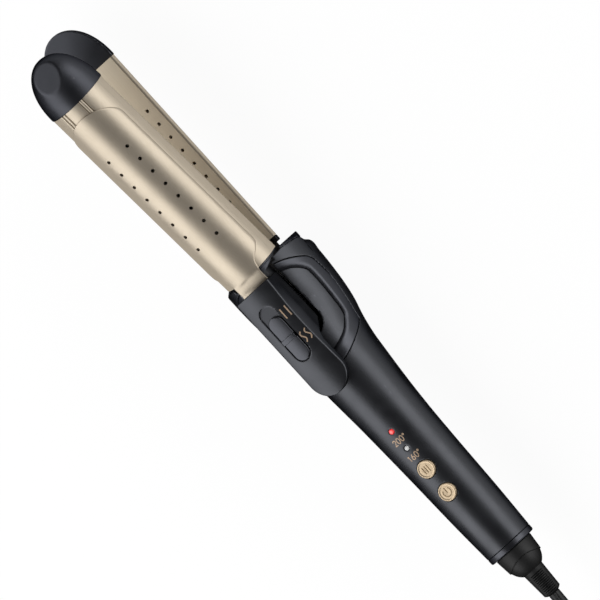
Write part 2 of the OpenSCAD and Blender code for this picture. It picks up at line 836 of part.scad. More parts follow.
slide_x1 = slot_start + slot_len - 0.2;
slide_len = slot_len - slide_travel - 0.4;
pad_proud = 0.25;          // the slide's pads stand proud of the lever's top

module mode_slide() color("#202227") on_lever() translate([0, slot_y, 0]) {
    intersection() {
        translate([0, 0, -recess_t + 0.05]) linear_extrude(recess_t + pad_proud)
            slot_shape(slide_x1 - slide_len, slide_len, slot_w - 0.4);
        translate([0, -slot_y, 0]) under_crown(pad_proud);
    }
    intersection() {
        block(slide_x1 - slide_len / 2 - 1.2, slide_x1 - slide_len / 2 + 1.2,
              slot_w / 2 - 0.5, -pad_proud, pad_proud + grip_h);
        translate([0, -slot_y, 0]) under_crown(pad_proud + grip_h);
    }
    translate([0, 0, -lever_top_t - latch_drop]) linear_extrude(lever_top_t + latch_drop - 0.3)
        slot_shape(shank_x, shank_len, shank_w);
}

latch_t = 1.4;
latch_drop = 0.6;          // the latch hangs this far under the lever's top
module mode_latch() color("#c9c9c4") on_lever() {
    translate([0, slot_y, -lever_top_t - latch_drop - latch_t]) linear_extrude(latch_t)
        slot_shape(shank_x - 4, shank_len + 6, 7);
}

// ------------------------------------------------- the inside of the handle

board_z = 4;
board_t = 1.6;
board_top = board_z + board_t;
board_x0 = 92;
board_x1 = 152;
board_half_w = 8.6;
board_hole_in = 4;         // from each end of the board to its mounting holes
module control_board() color("#2f6b45") tool() difference() {
    block(board_x0, board_x1, board_half_w, board_z, board_top);
    for (x = [board_x0 + board_hole_in, board_x1 - board_hole_in], y = [-6.4, 6.4])
        z_rod(0, 10, 1.1, x, y);
}

// Light pipe from the board up to the skin of the handle
module lamp_pipe(x) tool() {
    z_rod(board_top, handle_r_at(x) - 0.1, lamp_r, x);
    z_rod(board_top, board_top + 1.6, lamp_r + 0.9, x);
}
module hot_lamp() color("#c8282c") lamp_pipe(hot_lamp_x);
module ready_lamp() color("#e8e6e0") lamp_pipe(ready_lamp_x);

// A round button with a retaining flange under the housing
flange_t = 1;
function button_top(x) = handle_r_at(x) + button_proud;
function flange_z(x) = handle_r_at(x + button_r + 1.2) - wall - 2.2;
module button(x) tool() translate([x, 0, 0]) intersection() {
    rotate_extrude() polygon([
        [0, flange_z(x)], [button_r + 1, flange_z(x)],
        [button_r + 1, flange_z(x) + flange_t], [button_r, flange_z(x) + flange_t],
        [button_r, button_top(x) - 0.5], [button_r - 0.4, button_top(x)],
        [button_r - 0.9, button_top(x)], [button_r - 1.2, button_top(x) - 0.25],
        [0, button_top(x) - 0.25]]);
    block(-10, 10, button_r + 0.4, 0, 40);
}
module mode_button() color("#d8cbb6") button(mode_button_x);
module power_button() color("#d8cbb6") button(power_button_x);

module tact_switches() color("#3a3a3c") tool()
    for (x = [mode_button_x, power_button_x]) {
        block(x - 3, x + 3, 3, board_top, board_top + 1.8);
        z_rod(board_top + 1.8, flange_z(x) - button_travel - 0.05, 1.7, x);
    }

// ------------------------------------------------------------------ the fan

fan_x0 = 43.5;
fan_x1 = 56;
module fan_shroud() color("#2a2b2e") tool() intersection() {
    difference() {
        union() {
            x_rod(fan_x0, fan_x1 + 1.5, shroud_r, fan_z);
            block(fan_x0 + 1, intake_x - 2, 3, -40, fan_z);
            both_sides() rotate([45, 0, 0]) block(fan_x0 + 1, intake_x - 2, 2, -30, -5);
        }
        x_rod(fan_x0 - over, fan_x1, shroud_r - 1, fan_z);
        difference() {
            x_rod(fan_x1 - over, fan_x1 + 3, shroud_r - 1, fan_z);
            x_rod(fan_x1 - 2, fan_x1 + 4, motor_r, fan_z);
            for (a = [0 : 60 : 120]) translate([0, 0, fan_z]) rotate([a, 0, 0])
                block(fan_x1 - 2, fan_x1 + 4, 0.8, -20, 20);
        }
        x_rod(fan_x1 - over, fan_x1 + 4, 1.5, fan_z);
    }
    body_solid(wall);
}

module fan_rotor() color("#3a3b3f") tool() translate([0, 0, fan_z]) {
    x_rod(fan_x0 + 1, fan_x1 - 1.5, fan_hub_r);
    x_rod(fan_x1 - 1.5, fan_x1 + 5, 1.2);
    for (i = [0 : fan_blades - 1]) rotate([360 / fan_blades * i, 0, 0])
        translate([fan_x0 + 6, 0, 0]) rotate([0, 0, 38])
            translate([-4.6, -0.5, 2]) cube([9.2, 1, fan_r - 2.5]);
}

module fan_motor() color("#a9abb0") tool() difference() {
    union() {
        x_rod(fan_x1 + 1.5, fan_x1 + 1.5 + motor_len, motor_r, fan_z);
        x_rod(fan_x1 + 1.5 + motor_len, fan_x1 + 3.5 + motor_len, 2.5, fan_z);
    }
    x_rod(fan_x1, fan_x1 + 6, 1.25, fan_z);
}

// ------------------------------------------------------- swivel and the cord

ball_r = swivel_r - 1.3;   // the ball that the strain relief grows from
ball_x = relief_x - 6.9;
rim_x = ball_x + 2.8;      // the socket's rim at its two sides
scallop_r = 15.6;          // the rim is cut back between them
scallop_turn = -22.5;      // its place round the axis at rest
module swivel_cap() color("#2a2a2a") tool() difference() {
    union() {
        x_rod(handle_end - 6, handle_end - 3.4, journal_r + 2);
        x_rod(handle_end - 6, swivel_x, journal_r);
        difference() {
            revolve_x([[swivel_x, 0], [swivel_x, swivel_r - 0.2], [rim_x, ball_r + 0.2],
                       [rim_x, 0]]);
            rotate([scallop_turn, 0, 0])
                z_rod(-2 * swivel_r, 2 * swivel_r, scallop_r, rim_x - 3.5 + scallop_r);
        }
        intersection() {
            translate([ball_x, 0, 0]) sphere(r = ball_r);
            x_rod(swivel_x, ball_x + ball_r + over, swivel_r);
        }
    }
    x_rod(handle_end - 7, relief_x - 10, 3.4);
    x_rod(relief_x - 10, relief_x + over, relief_r - 0.4);
    x_rod(relief_x, relief_x + ball_r, relief_r);
}

// Radius of the strain relief at rib i
function relief_r_at(i) = relief_r + (relief_tip_r - relief_r) * i / relief_ribs;

// Tapered sleeve whose root is held inside the swivel cap
module strain_relief() color("#2a2a2a") tool() {
    rib = relief_len / relief_ribs;
    revolve_x(concat(
        [[relief_x - 10, 0], [relief_x - 10, relief_r - 0.4], [relief_x, relief_r - 0.4]],
        [for (i = [0 : relief_ribs - 1]) each [
            [relief_x + rib * i, relief_r_at(i)],
            [relief_x + rib * (i + 0.6), relief_r_at(i)],
            [relief_x + rib * (i + 0.6), relief_r_at(i) - 0.7],
            [relief_x + rib * (i + 1), relief_r_at(i) - 0.7]
        ]],
        [[relief_end, 0]]));
}

// Route of the cord in the row frame, from the strain relief down to the table
lead_route = [
    [173, 0, 26], [180, 0, 26], [187, -1, 25], [194, -3, 22.5], [201, -6, 18.5],
    [208, -10, 14], [215, -14, 9.5], [222, -18, 6], [229, -21, 4], [237, -23, 3.2],
    [246, -24, 3.4]
];
// Route from the top of the hank up to the plug
tail_route = [
    [336, 18.5, 16.6], [330, 19, 18.9], [323, 20, 21.8], [316, 20.5, 24.2],
    [310, 21, 25.4], [304, 21, 25.4]
];
hank_x0 = 262;
hank_x1 = 347;
hank_lift = 0.9;           // the ties pass under the hank
hank_h = 3 * cord_d;
hank_mid_r = 21;           // middle of the bundle in the end loops

// A round tube swept along the route
module tube(route, r) {
    sides = 10;
    n = len(route);
    rings = [for (i = [0 : n - 1])
        let (a = route[max(i - 1, 0)], b = route[min(i + 1, n - 1)],
             t = (b - a) / norm(b - a), s = cross(t, [0, 0, 1]) / norm(cross(t, [0, 0, 1])),
             u = cross(s, t))
        for (k = [0 : sides - 1])
            route[i] + r * cos(360 / sides * k) * s + r * sin(360 / sides * k) * u];
    polyhedron(rings, concat(
        [[for (k = [0 : sides - 1]) k]],
        [for (i = [0 : n - 2], k = [0 : sides - 1]) let (next = (k + 1) % sides)
            [i * sides + k, (i + 1) * sides + k, (i + 1) * sides + next, i * sides + next]],
        [[for (k = [sides - 1 : -1 : 0]) (n - 1) * sides + k]]));
}

module cord_lead() color("#2a2a2a") tube(lead_route, cord_d / 2);
module cord_tail() color("#2a2a2a") tube(tail_route, cord_d / 2);

module race(r) {
    translate([hank_x0, -r]) square([hank_x1 - hank_x0, 2 * r]);
    for (x = [hank_x0, hank_x1]) translate([x, 0]) circle(r = r);
}

module cord_hank() color("#2a2a2a") translate([0, 0, hank_lift])
    linear_extrude(hank_h) difference() {
        race(hank_mid_r + cord_d);
        race(hank_mid_r - cord_d);
    }

tie_t = 0.8;
tie_x = 294;
tie_w = 12;
module hank_ties() color("#3a3a3a") for (side = [-1, 1])
    translate([tie_x, side * hank_mid_r, 0]) difference() {
        translate([0, -cord_d - tie_t - 0.1, 0])
            cube([tie_w, 2 * (cord_d + tie_t + 0.1), hank_lift + hank_h + tie_t + 0.1]);
        translate([-over, -cord_d - 0.1, tie_t])
            cube([tie_w + 2 * over, 2 * cord_d + 0.2, hank_lift + hank_h - tie_t + 0.1]);
    }

plug_y = 21;
plug_z = 25.4;
plug_x = 304;              // rear end of the plug's own strain relief
plug_relief_len = 20;
plug_len = 30;
blade_len = 17;
blade_pitch = 12.7;
module plug_body() color("#2a2a2a") translate([plug_x, plug_y, plug_z]) {
    rotate([0, -90, 0]) cylinder(h = plug_relief_len, r1 = 3.6, r2 = 5.2);
    translate([-plug_relief_len, 0, 0]) intersection() {
        translate([0, 0, -6.4]) linear_extrude(12.8) polygon([
            [0, -6], [-8, -8], [-14, -11], [-plug_len, -11.5],
            [-plug_len, 11.5], [-14, 11], [-8, 8], [0, 6]]);
        rotate([90, 0, 0]) linear_extrude(30, center = true) polygon([
            [0, -5], [-4, -6.4], [-plug_len + 1, -6.4], [-plug_len, -5.4],
            [-plug_len, 5.4], [-plug_len + 1, 6.4], [-4, 6.4], [0, 5]]);
    }
}

module plug_blades() color("#c9b27a")
    translate([plug_x - plug_relief_len - plug_len, plug_y, plug_z])
        for (y = [-blade_pitch / 2, blade_pitch / 2])
            translate([-blade_len, y - 0.75, -3.2]) difference() {
                cube([blade_len, 1.5, 6.4]);
                translate([3.5, -over, 3.2]) rotate([-90, 0, 0]) cylinder(h = 4, r = 1.5);
            }

upper_housing();
lower_housing();
nose_collar();
lever_bezel();
end_ring();
rear_barrel();
rear_plate();
rear_tip_cap();
rear_collar();
rear_carrier();
rear_heater();
control_board();
hot_lamp();
ready_lamp();
tact_switches();
fan_motor();
fan_shroud();
jaw_hinge_pin();
housing_screws();
intake_screen();
jaw_spring();
front_barrel();
front_plate();
front_tip_cap();
front_collar();
arm_root();
front_heater();
clamp_hinge_pin();
clamp_spring();
clamp_spoon();
thumb_lever();
clamp_screws();
mode_slide();
mode_latch();
mode_button();
power_button();
fan_rotor();
swivel_cap();
strain_relief();
cord_lead();
cord_hank();
cord_tail();
hank_ties();
plug_body();
plug_blades();
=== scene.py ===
# Hot and cool-air styling iron: two half barrels that open like jaws, a spoon
# clamp on a thumb lever, a body with a fan, a handle and a cord in a hank.
# Meshes are drawn in millimetres in the tool's own frame: x = 0 at the front
# face of the body, z = 0 on the axis of the closed barrel.
from math import acos, cos, degrees, exp, hypot, pi, radians, sin, sqrt

import bpy
import numpy as np
from mathutils import Matrix, Vector


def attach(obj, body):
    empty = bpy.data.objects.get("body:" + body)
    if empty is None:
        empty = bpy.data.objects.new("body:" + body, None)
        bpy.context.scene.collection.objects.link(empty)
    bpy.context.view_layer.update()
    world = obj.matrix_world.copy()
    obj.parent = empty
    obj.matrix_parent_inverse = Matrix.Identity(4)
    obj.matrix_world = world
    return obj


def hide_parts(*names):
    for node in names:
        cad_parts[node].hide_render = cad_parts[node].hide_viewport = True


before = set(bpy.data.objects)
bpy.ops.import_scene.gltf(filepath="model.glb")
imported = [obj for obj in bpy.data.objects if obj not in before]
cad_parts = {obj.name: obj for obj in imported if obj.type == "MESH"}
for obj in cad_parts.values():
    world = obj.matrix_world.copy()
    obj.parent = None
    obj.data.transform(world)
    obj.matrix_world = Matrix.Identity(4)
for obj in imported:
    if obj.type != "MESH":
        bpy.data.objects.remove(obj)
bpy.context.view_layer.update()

# --- Studio: a pale table, two long soft boxes and one camera --------------
# The tool lies on a smooth white table. One soft box hangs over the near side
# and a second stands low on the far side, so the round parts show two bands.
MM = 0.001
AXIS_Z = 26.0                       # height of the barrel's axis over the table
LOOK_TILT = radians(22.5)           # from straight above, towards +Y
ROLL = radians(47.87)
AIM_X, AIM_Y = -6.06, 3.65
PICTURE_PX, PX_PER_MM, SENSOR, FAR = 600, 2.1625, 36, 10.0
TABLE_HALF = 6.0


def placed(name, data):
    """A new object in the scene."""
    made = bpy.data.objects.new(name, data)
    bpy.context.collection.objects.link(made)
    return made


def mesh_object(name, points, faces):
    mesh = bpy.data.meshes.new(name)
    mesh.from_pydata(points, [], faces)
    mesh.update()
    return placed(name, mesh)


def facing(place, *ways):
    """The frame at a place whose x, y and z axes point these three ways."""
    return Matrix.Translation(place) @ Matrix(ways).transposed().to_4x4()


to_camera = Vector((0, sin(LOOK_TILT), cos(LOOK_TILT)))
across = Vector((0, cos(LOOK_TILT), -sin(LOOK_TILT)))
along = Vector((1, 0, 0))
aim = Vector((AIM_X, AIM_Y * cos(LOOK_TILT), AXIS_Z - AIM_Y * sin(LOOK_TILT))) * MM
camera = placed("camera", bpy.data.cameras.new("camera"))
camera.data.sensor_width = SENSOR
camera.data.lens = SENSOR * FAR / (PICTURE_PX / PX_PER_MM * MM)
camera.matrix_world = facing(
    aim + to_camera * FAR, along * cos(ROLL) + across * sin(ROLL),
    across * cos(ROLL) - along * sin(ROLL), to_camera)
bpy.context.scene.camera = camera
bpy.context.scene.view_settings.view_transform = "Standard"


def srgb(code):
    """The linear colour of an sRGB hex value."""
    part = [int(code[i:i + 2], 16) / 255 for i in (1, 3, 5)]
    return tuple(p / 12.92 if p <= 0.04045 else ((p + 0.055) / 1.055) ** 2.4
                 for p in part) + (1,)


def node(material, kind, *links, **settings):
    """Adds one shader node: links as (input, node, output), settings by name."""
    tree = material.node_tree
    made = tree.nodes.new("ShaderNode" + kind)
    for name, value in settings.items():
        if name[0] == "_":
            made.inputs[name[1:].replace("_", " ")].default_value = value
        else:
            setattr(made, name, value)
    for socket, source, output in links:
        tree.links.new(source.outputs[output], made.inputs[socket])
    return made


def new_material(name):
    material = bpy.data.materials.new(name)
    material.use_nodes = True
    material.node_tree.nodes.clear()
    return material


def soft_box(name, angle, distance, width, length, watts):
    """A long lamp over the tool, angle degrees from straight up towards +Y."""
    lamp = bpy.data.lights.new(name, "AREA")
    lamp.shape = "RECTANGLE"
    lamp.size, lamp.size_y, lamp.energy = length, width, watts
    out = Vector((0, sin(radians(angle)), cos(radians(angle))))
    placed(name, lamp).matrix_world = facing(out * distance, along, out.cross(along), out)


soft_box("near_soft_box", -45, 1.2, 1.1, 3.2, 32)
soft_box("far_soft_box", 74, 1.2, 0.9, 2.4, 20)
room = bpy.data.worlds.new("dim_room")
room.use_nodes = True
room.node_tree.nodes["Background"].inputs["Color"].default_value = (0.12, 0.12, 0.125, 1)
bpy.context.scene.world = room

# Smooth painted table top: matt, a very faint grain, white as paper
white = new_material("matt_table_paint")
grain = node(white, "TexNoise", _Scale=400.0, _Detail=2.0)
rough = node(white, "MapRange", ("Value", grain, "Fac"), _To_Min=0.7, _To_Max=0.8)
paint = node(white, "BsdfPrincipled", ("Roughness", rough, "Result"),
             _Base_Color=srgb("#F4F4F4"))
# seen by the eye and in gloss it is white, and keeps the tool's soft shadow
glow = node(white, "Emission", _Color=srgb("#FFFFFF"), _Strength=1.0)
shown = node(white, "MixShader", (1, glow, "Emission"), (2, paint, "BSDF"), _Fac=0.06)
ray = node(white, "LightPath")
eye_or_gloss = node(white, "Math", (0, ray, "Is Camera Ray"), (1, ray, "Is Glossy Ray"),
                    operation="ADD")
seen = node(white, "Math", (0, eye_or_gloss, "Value"), (1, ray, "Is Transmission Ray"),
            operation="ADD", use_clamp=True)
top = node(white, "MixShader", (0, seen, "Value"), (1, paint, "BSDF"), (2, shown, "Shader"))
node(white, "OutputMaterial", ("Surface", top, "Shader"))
table = mesh_object("table_top", [(x * TABLE_HALF, y * TABLE_HALF, 0) for x, y in (
    (-1, -1), (1, -1), (1, 1), (-1, 1))], [(0, 1, 2, 3)])
table.data.materials.append(white)

# --- The two housings ------------------------------------------------------
# The body and handle are an upper and a lower ABS moulding, painted in matt
# blue-black and screwed together from below, with a wall of about 2 mm.
NOSE_X = -31.15                     # the body's front face in the model's frame
TOOL = Matrix.Translation((NOSE_X, 0, AXIS_Z))


def shaded(mesh, crease=38):
    """Smooth shading; edges bent by more than crease degrees stay sharp."""
    mesh.shade_smooth()
    mesh.set_sharp_from_angle(angle=radians(crease))


def piece(name, points, faces, material, body, slot, stands_for=(), at=TOOL, crease=38):
    """A piece from points in millimetres, drawn in the frame named at."""
    points = np.asarray(points, float) @ np.array(at)[:3, :3].T + np.array(at)[:3, 3]
    made = mesh_object(name, (points * MM).tolist(), [list(map(int, f)) for f in faces])
    shaded(made.data, crease)
    made.data.materials.append(material)
    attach(made, body)
    if stands_for:
        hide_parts(*stands_for)
    return made


def marks(*spans):
    """Grid lines: start, then pairs of the next end and the step up to it."""
    lines = [spans[0]]
    for end, step in zip(spans[1::2], spans[2::2]):
        count = max(1, round((end - lines[-1]) / step))
        lines += list(np.linspace(lines[-1], end, count + 1)[1:])
    return np.array(lines)


def skin(shape, *spans):
    """The surface where shape(x, y, z) is 0, netted on a grid of these marks."""
    axes = [marks(*span) for span in spans]
    field = shape(*np.meshgrid(*axes, indexing="ij", sparse=True))
    cells = np.array(field.shape) - 1
    quads, places, owners = [], [], []
    for a in range(3):
        b, c = (a + 1) % 3, (a + 2) % 3
        low, high = np.delete(field, -1, a), np.delete(field, 0, a)
        edge = np.nonzero((low < 0) != (high < 0))
        share = low[edge] / (low[edge] - high[edge])
        point = np.stack([axes[i][edge[i]] for i in range(3)], 1)
        point[:, a] += share * (axes[a][edge[a] + 1] - axes[a][edge[a]])
        round_edge = []
        for step_b, step_c in ((0, 0), (-1, 0), (-1, -1), (0, -1)):
            cell = list(edge)
            cell[b], cell[c] = edge[b] + step_b, edge[c] + step_c
            round_edge.append(np.ravel_multi_index(cell, cells))
            places.append(point)
        owners += round_edge
        quad = np.stack(round_edge, 1)
        quads.append(np.where((low[edge] < 0)[:, None], quad, quad[:, ::-1]))
    places = np.concatenate(places)
    used, owner = np.unique(np.concatenate(owners), return_inverse=True)
    count = np.bincount(owner)
    points = np.stack([np.bincount(owner, places[:, i]) / count for i in range(3)], 1)
    probe, reach = 0.02, 0.3
    for _ in range(3):
        slope = np.stack([(shape(*(points + s).T) - shape(*(points - s).T)) / (2 * probe)
                          for s in np.eye(3) * probe], 1)
        size = np.maximum((slope ** 2).sum(1), 0.3)
        points -= np.clip(shape(*points.T) / size, -reach, reach)[:, None] * slope
    return points, np.searchsorted(used, np.concatenate(quads))


def joined(a, b, round_off=0):
    """The forms a and b as one, with the corner between them filled by round_off."""
    if not round_off:
        return np.minimum(a, b)
    mix = np.clip(0.5 + 0.5 * (b - a) / round_off, 0, 1)
    return b + (a - b) * mix - round_off * mix * (1 - mix)


def both(a, b, round_off=0):
    return -joined(-a, -b, round_off) if round_off else np.maximum(a, b)


def without(a, b, round_off):
    return -joined(-a, b, round_off)


def smooth_line(points):
    """A smooth curve through [x, value] points, as a function of x."""
    x, value = np.array(points, float).T
    slope = np.gradient(value, x)
    dense = np.linspace(x[0], x[-1], 500)
    i = np.clip(np.searchsorted(x, dense) - 1, 0, len(x) - 2)
    gap = x[i + 1] - x[i]
    t = (dense - x[i]) / gap
    curve = (value[i] + (value[i + 1] - value[i]) * t * t * (3 - 2 * t)
             + gap * t * (1 - t) * ((1 - t) * slope[i] - t * slope[i + 1]))
    return lambda at: np.interp(at, dense, curve)


def slab(value, low, high):
    """Distance from the layer between low and high."""
    return np.maximum(low - value, value - high)


def box(x, y, z, x0, x1, half_y, z0, z1, round_off):
    return both(both(slab(x, x0, x1), np.abs(y) - half_y, round_off),
                slab(z, z0, z1), round_off)


# the body is round about its own lower axis, and flat underneath
BULGE_Z, BULGE_R, BELLY_Z, STEP_R = -7.3, 23.25, -26.0, 20.9
BODY_END, GRIP_START, GRIP_END = 114, 30, 173
# what its radius loses along its back and down to the grip
LOSS = [[8, 0], [13.8, 0.1], [20.18, 0.4], [25.98, 0.85], [31.78, 1.45], [37, 2.2],
        [42.22, 3.25], [46.28, 4.4], [50.92, 5.65], [56.14, 7], [60.78, 8.15], [66, 9.05],
        [74, 10.25], [90, 12.45], [106, 14.85], [BODY_END, 16.25]]
behind = [[x, BULGE_R - loss] for x, loss in LOSS]
upper_bulge = smooth_line([[0, 22.6], [1, 22.95], [2.5, 23.2], [5, 23.25]] + behind)
lower_bulge = smooth_line([[-1, STEP_R], [4.6, STEP_R], [5.4, 21.2], [7.2, 22.9]] + behind)
grip_line = smooth_line([
    [30, 13.2], [38, 14.8], [47, 16.2], [56, 16.9], [65, 17], [75, 16.5], [87, 15.8],
    [99, 15.3], [122, 14.5], [153, 13.6], [GRIP_END, 12.7]])
WALL = 2.0


def body_form(x, y, z, bulge):
    belly = np.hypot(y, z - BULGE_Z) - bulge(x)
    belly = both(belly, x - BODY_END)
    grip = both(np.hypot(y, z) - grip_line(x), GRIP_START - x)
    return both(joined(belly, grip, 6.0), BELLY_Z - z, 1.2)


def round_turn(y, z):
    """Distance round the body from its top line, as if it were 21 mm thick."""
    return 21 * np.abs(np.arctan2(y, z - BULGE_Z))


def plan(x, y, z, half_w, back_w, x0, x1, round_off):
    """Distance from an outline on the body; its walls stand square to the skin."""
    corners = [[x0, 0.5 * half_w], [x0 + 4, 0.85 * half_w], [x0 + 9, 0.99 * half_w],
               [x0 + 13, half_w], [x1 - 13, back_w], [x1 - 10, 0.94 * back_w],
               [x1 - 4.6, 0.8 * back_w], [x1 - 1, 0.42 * back_w], [x1, 0]]
    for corner in corners:
        place, side = corner
        belly_r, grip_r = float(upper_bulge(place)), float(grip_line(place))
        height = sqrt(max(belly_r * belly_r - side * side, 0)) + BULGE_Z
        if place > GRIP_START + 4 and grip_r > side:
            height = max(height, sqrt(grip_r * grip_r - side * side))
        corner[1] = float(round_turn(side, height))
    far = x0 - x
    turn = round_turn(y, z)
    for (xa, ya), (xb, yb) in zip(corners, corners[1:]):
        side = ((ya - yb) * (x - xa) + (xb - xa) * (turn - ya)) / hypot(xb - xa, yb - ya)
        far = both(far, side, round_off)
    return far


# half width in front and behind, first and last x of the panels and their trim
PANEL = (20.7, 18.4, 6.8, 54.6)
TRIM = (22.5, 18.6, 4.3, 60.2)
PANEL_DEPTH, PANEL_FOOT = 1.4, -4.0


def outer_form(x, y, z):
    """The upper shell's outside, sunk where the trim and the panels lie."""
    form = body_form(x, y, z, upper_bulge)
    sunk = both(plan(x, y, z, *TRIM, 1.6) - 0.2, -form - PANEL_DEPTH, 0.5)
    return without(form, both(sunk, PANEL_FOOT - 0.1 - z), 0.35)


def opening(x, y, z):
    """The hole in the top in which the lever moves, and the barrel's way in."""
    corner = np.hypot(np.maximum(x - 35.2, 0), np.maximum(np.abs(y) - 3.2, 0)) - 7.8
    lever_way = both(corner, PANEL_FOOT - z)
    arm_way = box(x, y, z, -5, 3.3, 12.7, -0.4, 60, 0.3)
    barrel_way = box(x, y, z, -5, 1.5, 16.4, -0.4, 60, 0.3)
    return joined(lever_way, joined(arm_way, barrel_way))


# the seam round the nose, as its x at each height, and the gap left at each join
seam_line = smooth_line([[-30, 3], [-5, 3], [0, 2.2], [6, 1.4], [12, 0.8], [20, 0.5]])
SEAM_GAP, JOIN_GAP = 0.06, 0.04


def join_height(x):
    return np.interp(x, [-1, 50, 90, 180], [-5, -5, 0, 0])


# where the buttons and lamps come through the top, and the screws' wells
BUTTONS = {"mode": 122.2, "power": 136.5}
LAMPS = {"hot": 98.6, "ready": 109.0}
SCREWS = [(80, 0), (160, 0), (20, 16.5), (20, -16.5)]
HINGE_X, HINGE_Z = 35.1, -10.0      # the pin on which the front half swings


def upper_form(x, y, z):
    outer = outer_form(x, y, z)
    shell = both(outer, -(outer + WALL))
    shell = both(shell, seam_line(z) + SEAM_GAP - x, 0.3)
    shell = both(shell, join_height(x) + JOIN_GAP - z)
    shell = both(shell, x - GRIP_END + 0.05, 0.5)
    shell = without(shell, opening(x, y, z), 0.5)
    for holes, radius, round_off in ((LAMPS, 1.45, 0.25), (BUTTONS, 4.62, 0.3)):
        for place in holes.values():
            hole = both(np.hypot(x - place, y) - radius, -z)
            shell = without(shell, hole, round_off)
    return shell


def lower_form(x, y, z):
    outer = body_form(x, y, z, lower_bulge)
    shell = both(outer, -(outer + WALL))
    # two webs carry the hinge pin, and a tongue stands up inside the upper shell
    webs = both(slab(np.abs(y), 9.2, 12), slab(x, HINGE_X - 6, HINGE_X + 6))
    shell = joined(shell, both(webs, outer + 1))
    shell = both(shell, z - join_height(x) + JOIN_GAP)
    tongue = both(slab(outer, -1.7, -0.6), slab(z - join_height(x), -1, 0.9))
    shell = joined(shell, tongue)
    shell = both(shell, 3.05 - x, 0.4)
    shell = both(shell, x - GRIP_END + 0.05, 0.5)
    # six intake slots across the foot, then the wells of the screws
    for i in range(6):
        slot = box(x, y, z, 54 + 3.6 * i, 56 + 3.6 * i, 8, -40, -12, 0.8)
        shell = without(shell, slot, 0.5)
    for sx, sy in SCREWS:
        deep = BELLY_Z + 7.5 if sy else -grip_line(sx) + 4.2
        well = both(np.hypot(x - sx, y - sy) - 2.5, z - deep)
        shell = without(shell, well, 0.4)
    return shell


def patterned(name):
    """A new material, and the link that lays its patterns on the piece."""
    material = new_material(name)
    return material, ("Vector", node(material, "TexCoord"), "Object")


def finished(material, tint_by, colours, matt_by, matt, height, bump, *links, **settings):
    """Ends a material: its colour, roughness and relief each follow a pattern.

    A pattern is (node, output); matt holds its range, then the roughness at both
    ends of it; bump holds a strength and a depth in millimetres."""
    tint = node(material, "Mix", ("Factor", *tint_by), data_type="RGBA",
                _A=srgb(colours[0]), _B=srgb(colours[1]))
    rough = node(material, "MapRange", ("Value", *matt_by), _From_Min=matt[0],
                 _From_Max=matt[1], _To_Min=matt[2], _To_Max=matt[3])
    relief = node(material, "Bump", ("Height", *height), _Strength=bump[0],
                  _Distance=bump[1] * MM)
    body = node(material, "BsdfPrincipled", ("Base Color", tint, "Result"),
                ("Roughness", rough, "Result"), ("Normal", relief, "Normal"),
                *links, **settings)
    node(material, "OutputMaterial", ("Surface", body, "BSDF"))
    return material


# Black finishes, painted or moulded, with fine dark flake in them, so they show
# a lamp as a broad grey sheen: a fine orange peel, paler where hands polish edges
def flaked_black(name, colour, worn, rough, peel=0.012):
    black, where = patterned(name)
    # orange peel of 0.5 mm, and smears of handling 12 mm across
    grain = node(black, "TexNoise", where, _Scale=2000.0, _Detail=3.0, _Roughness=0.6)
    smear = node(black, "TexNoise", where, _Scale=80.0, _Detail=3.0, _Distortion=0.6)
    edge = node(black, "NewGeometry")
    wear = node(black, "MapRange", ("Value", edge, "Pointiness"),
                _From_Min=0.58, _From_Max=0.68)
    patchy = node(black, "Math", (0, wear, "Result"), (1, smear, "Fac"), operation="MULTIPLY")
    # the flake stays dark when seen along it
    return finished(black, (patchy, "Value"), (colour, worn), (smear, "Fac"),
                    (0.3, 0.7, rough - 0.04, rough + 0.05), (grain, "Fac"), (0.25, peel),
                    _Metallic=1.0, _Specular_Tint=srgb("#2A2B2E"))


def along_join(form, bulge, side, *spans):
    """A skin whose grid follows the join, with the edge there drawn out sharp."""
    points, faces = skin(lambda x, y, z: form(x, y, z + join_height(x)), *spans)
    edge = slab(side * points[:, 2], -0.1, 0.2) < 0
    points[:, 2] += join_height(points[:, 0])
    x, y, z = points.T
    edge &= (np.abs(body_form(x, y, z, bulge)) < 0.5) & (x < GRIP_END - 0.6) & (x > 3.6)
    x, y = x[edge], y[edge]
    z = join_height(x) + side * JOIN_GAP
    for _ in range(3):
        y = y - body_form(x, y, z, bulge) * np.sign(y)
    points[edge] = np.stack([x, y, z], 1)
    return points, faces


# soft-feel paint on the two shells
soft_paint = flaked_black("metal_flake_painted_abs", "#3F4043", "#4D4E52", 0.38)
piece("upper_housing_shell", *along_join(
    upper_form, upper_bulge, 1, (0, 65, 0.42, 96, 1.2, 142, 0.46, 171, 1.2, 174, 0.4),
    (-24, 24, 0.45), (-0.7, 1.1, 0.3, 22.7, 0.45)),
    soft_paint, "handle", "dark_housing", ["upper_housing"])
piece("lower_housing_shell", *along_join(
    lower_form, lower_bulge, -1,
    (2, 10, 0.5, 76, 0.7, 84, 0.5, 156, 1.2, 164, 0.5, 171, 1.2, 174, 0.4),
    (-24, 24, 0.6), (-27.2, -1.1, 0.55, 1.3, 0.3)),
    soft_paint, "handle", "dark_housing", ["lower_housing"])


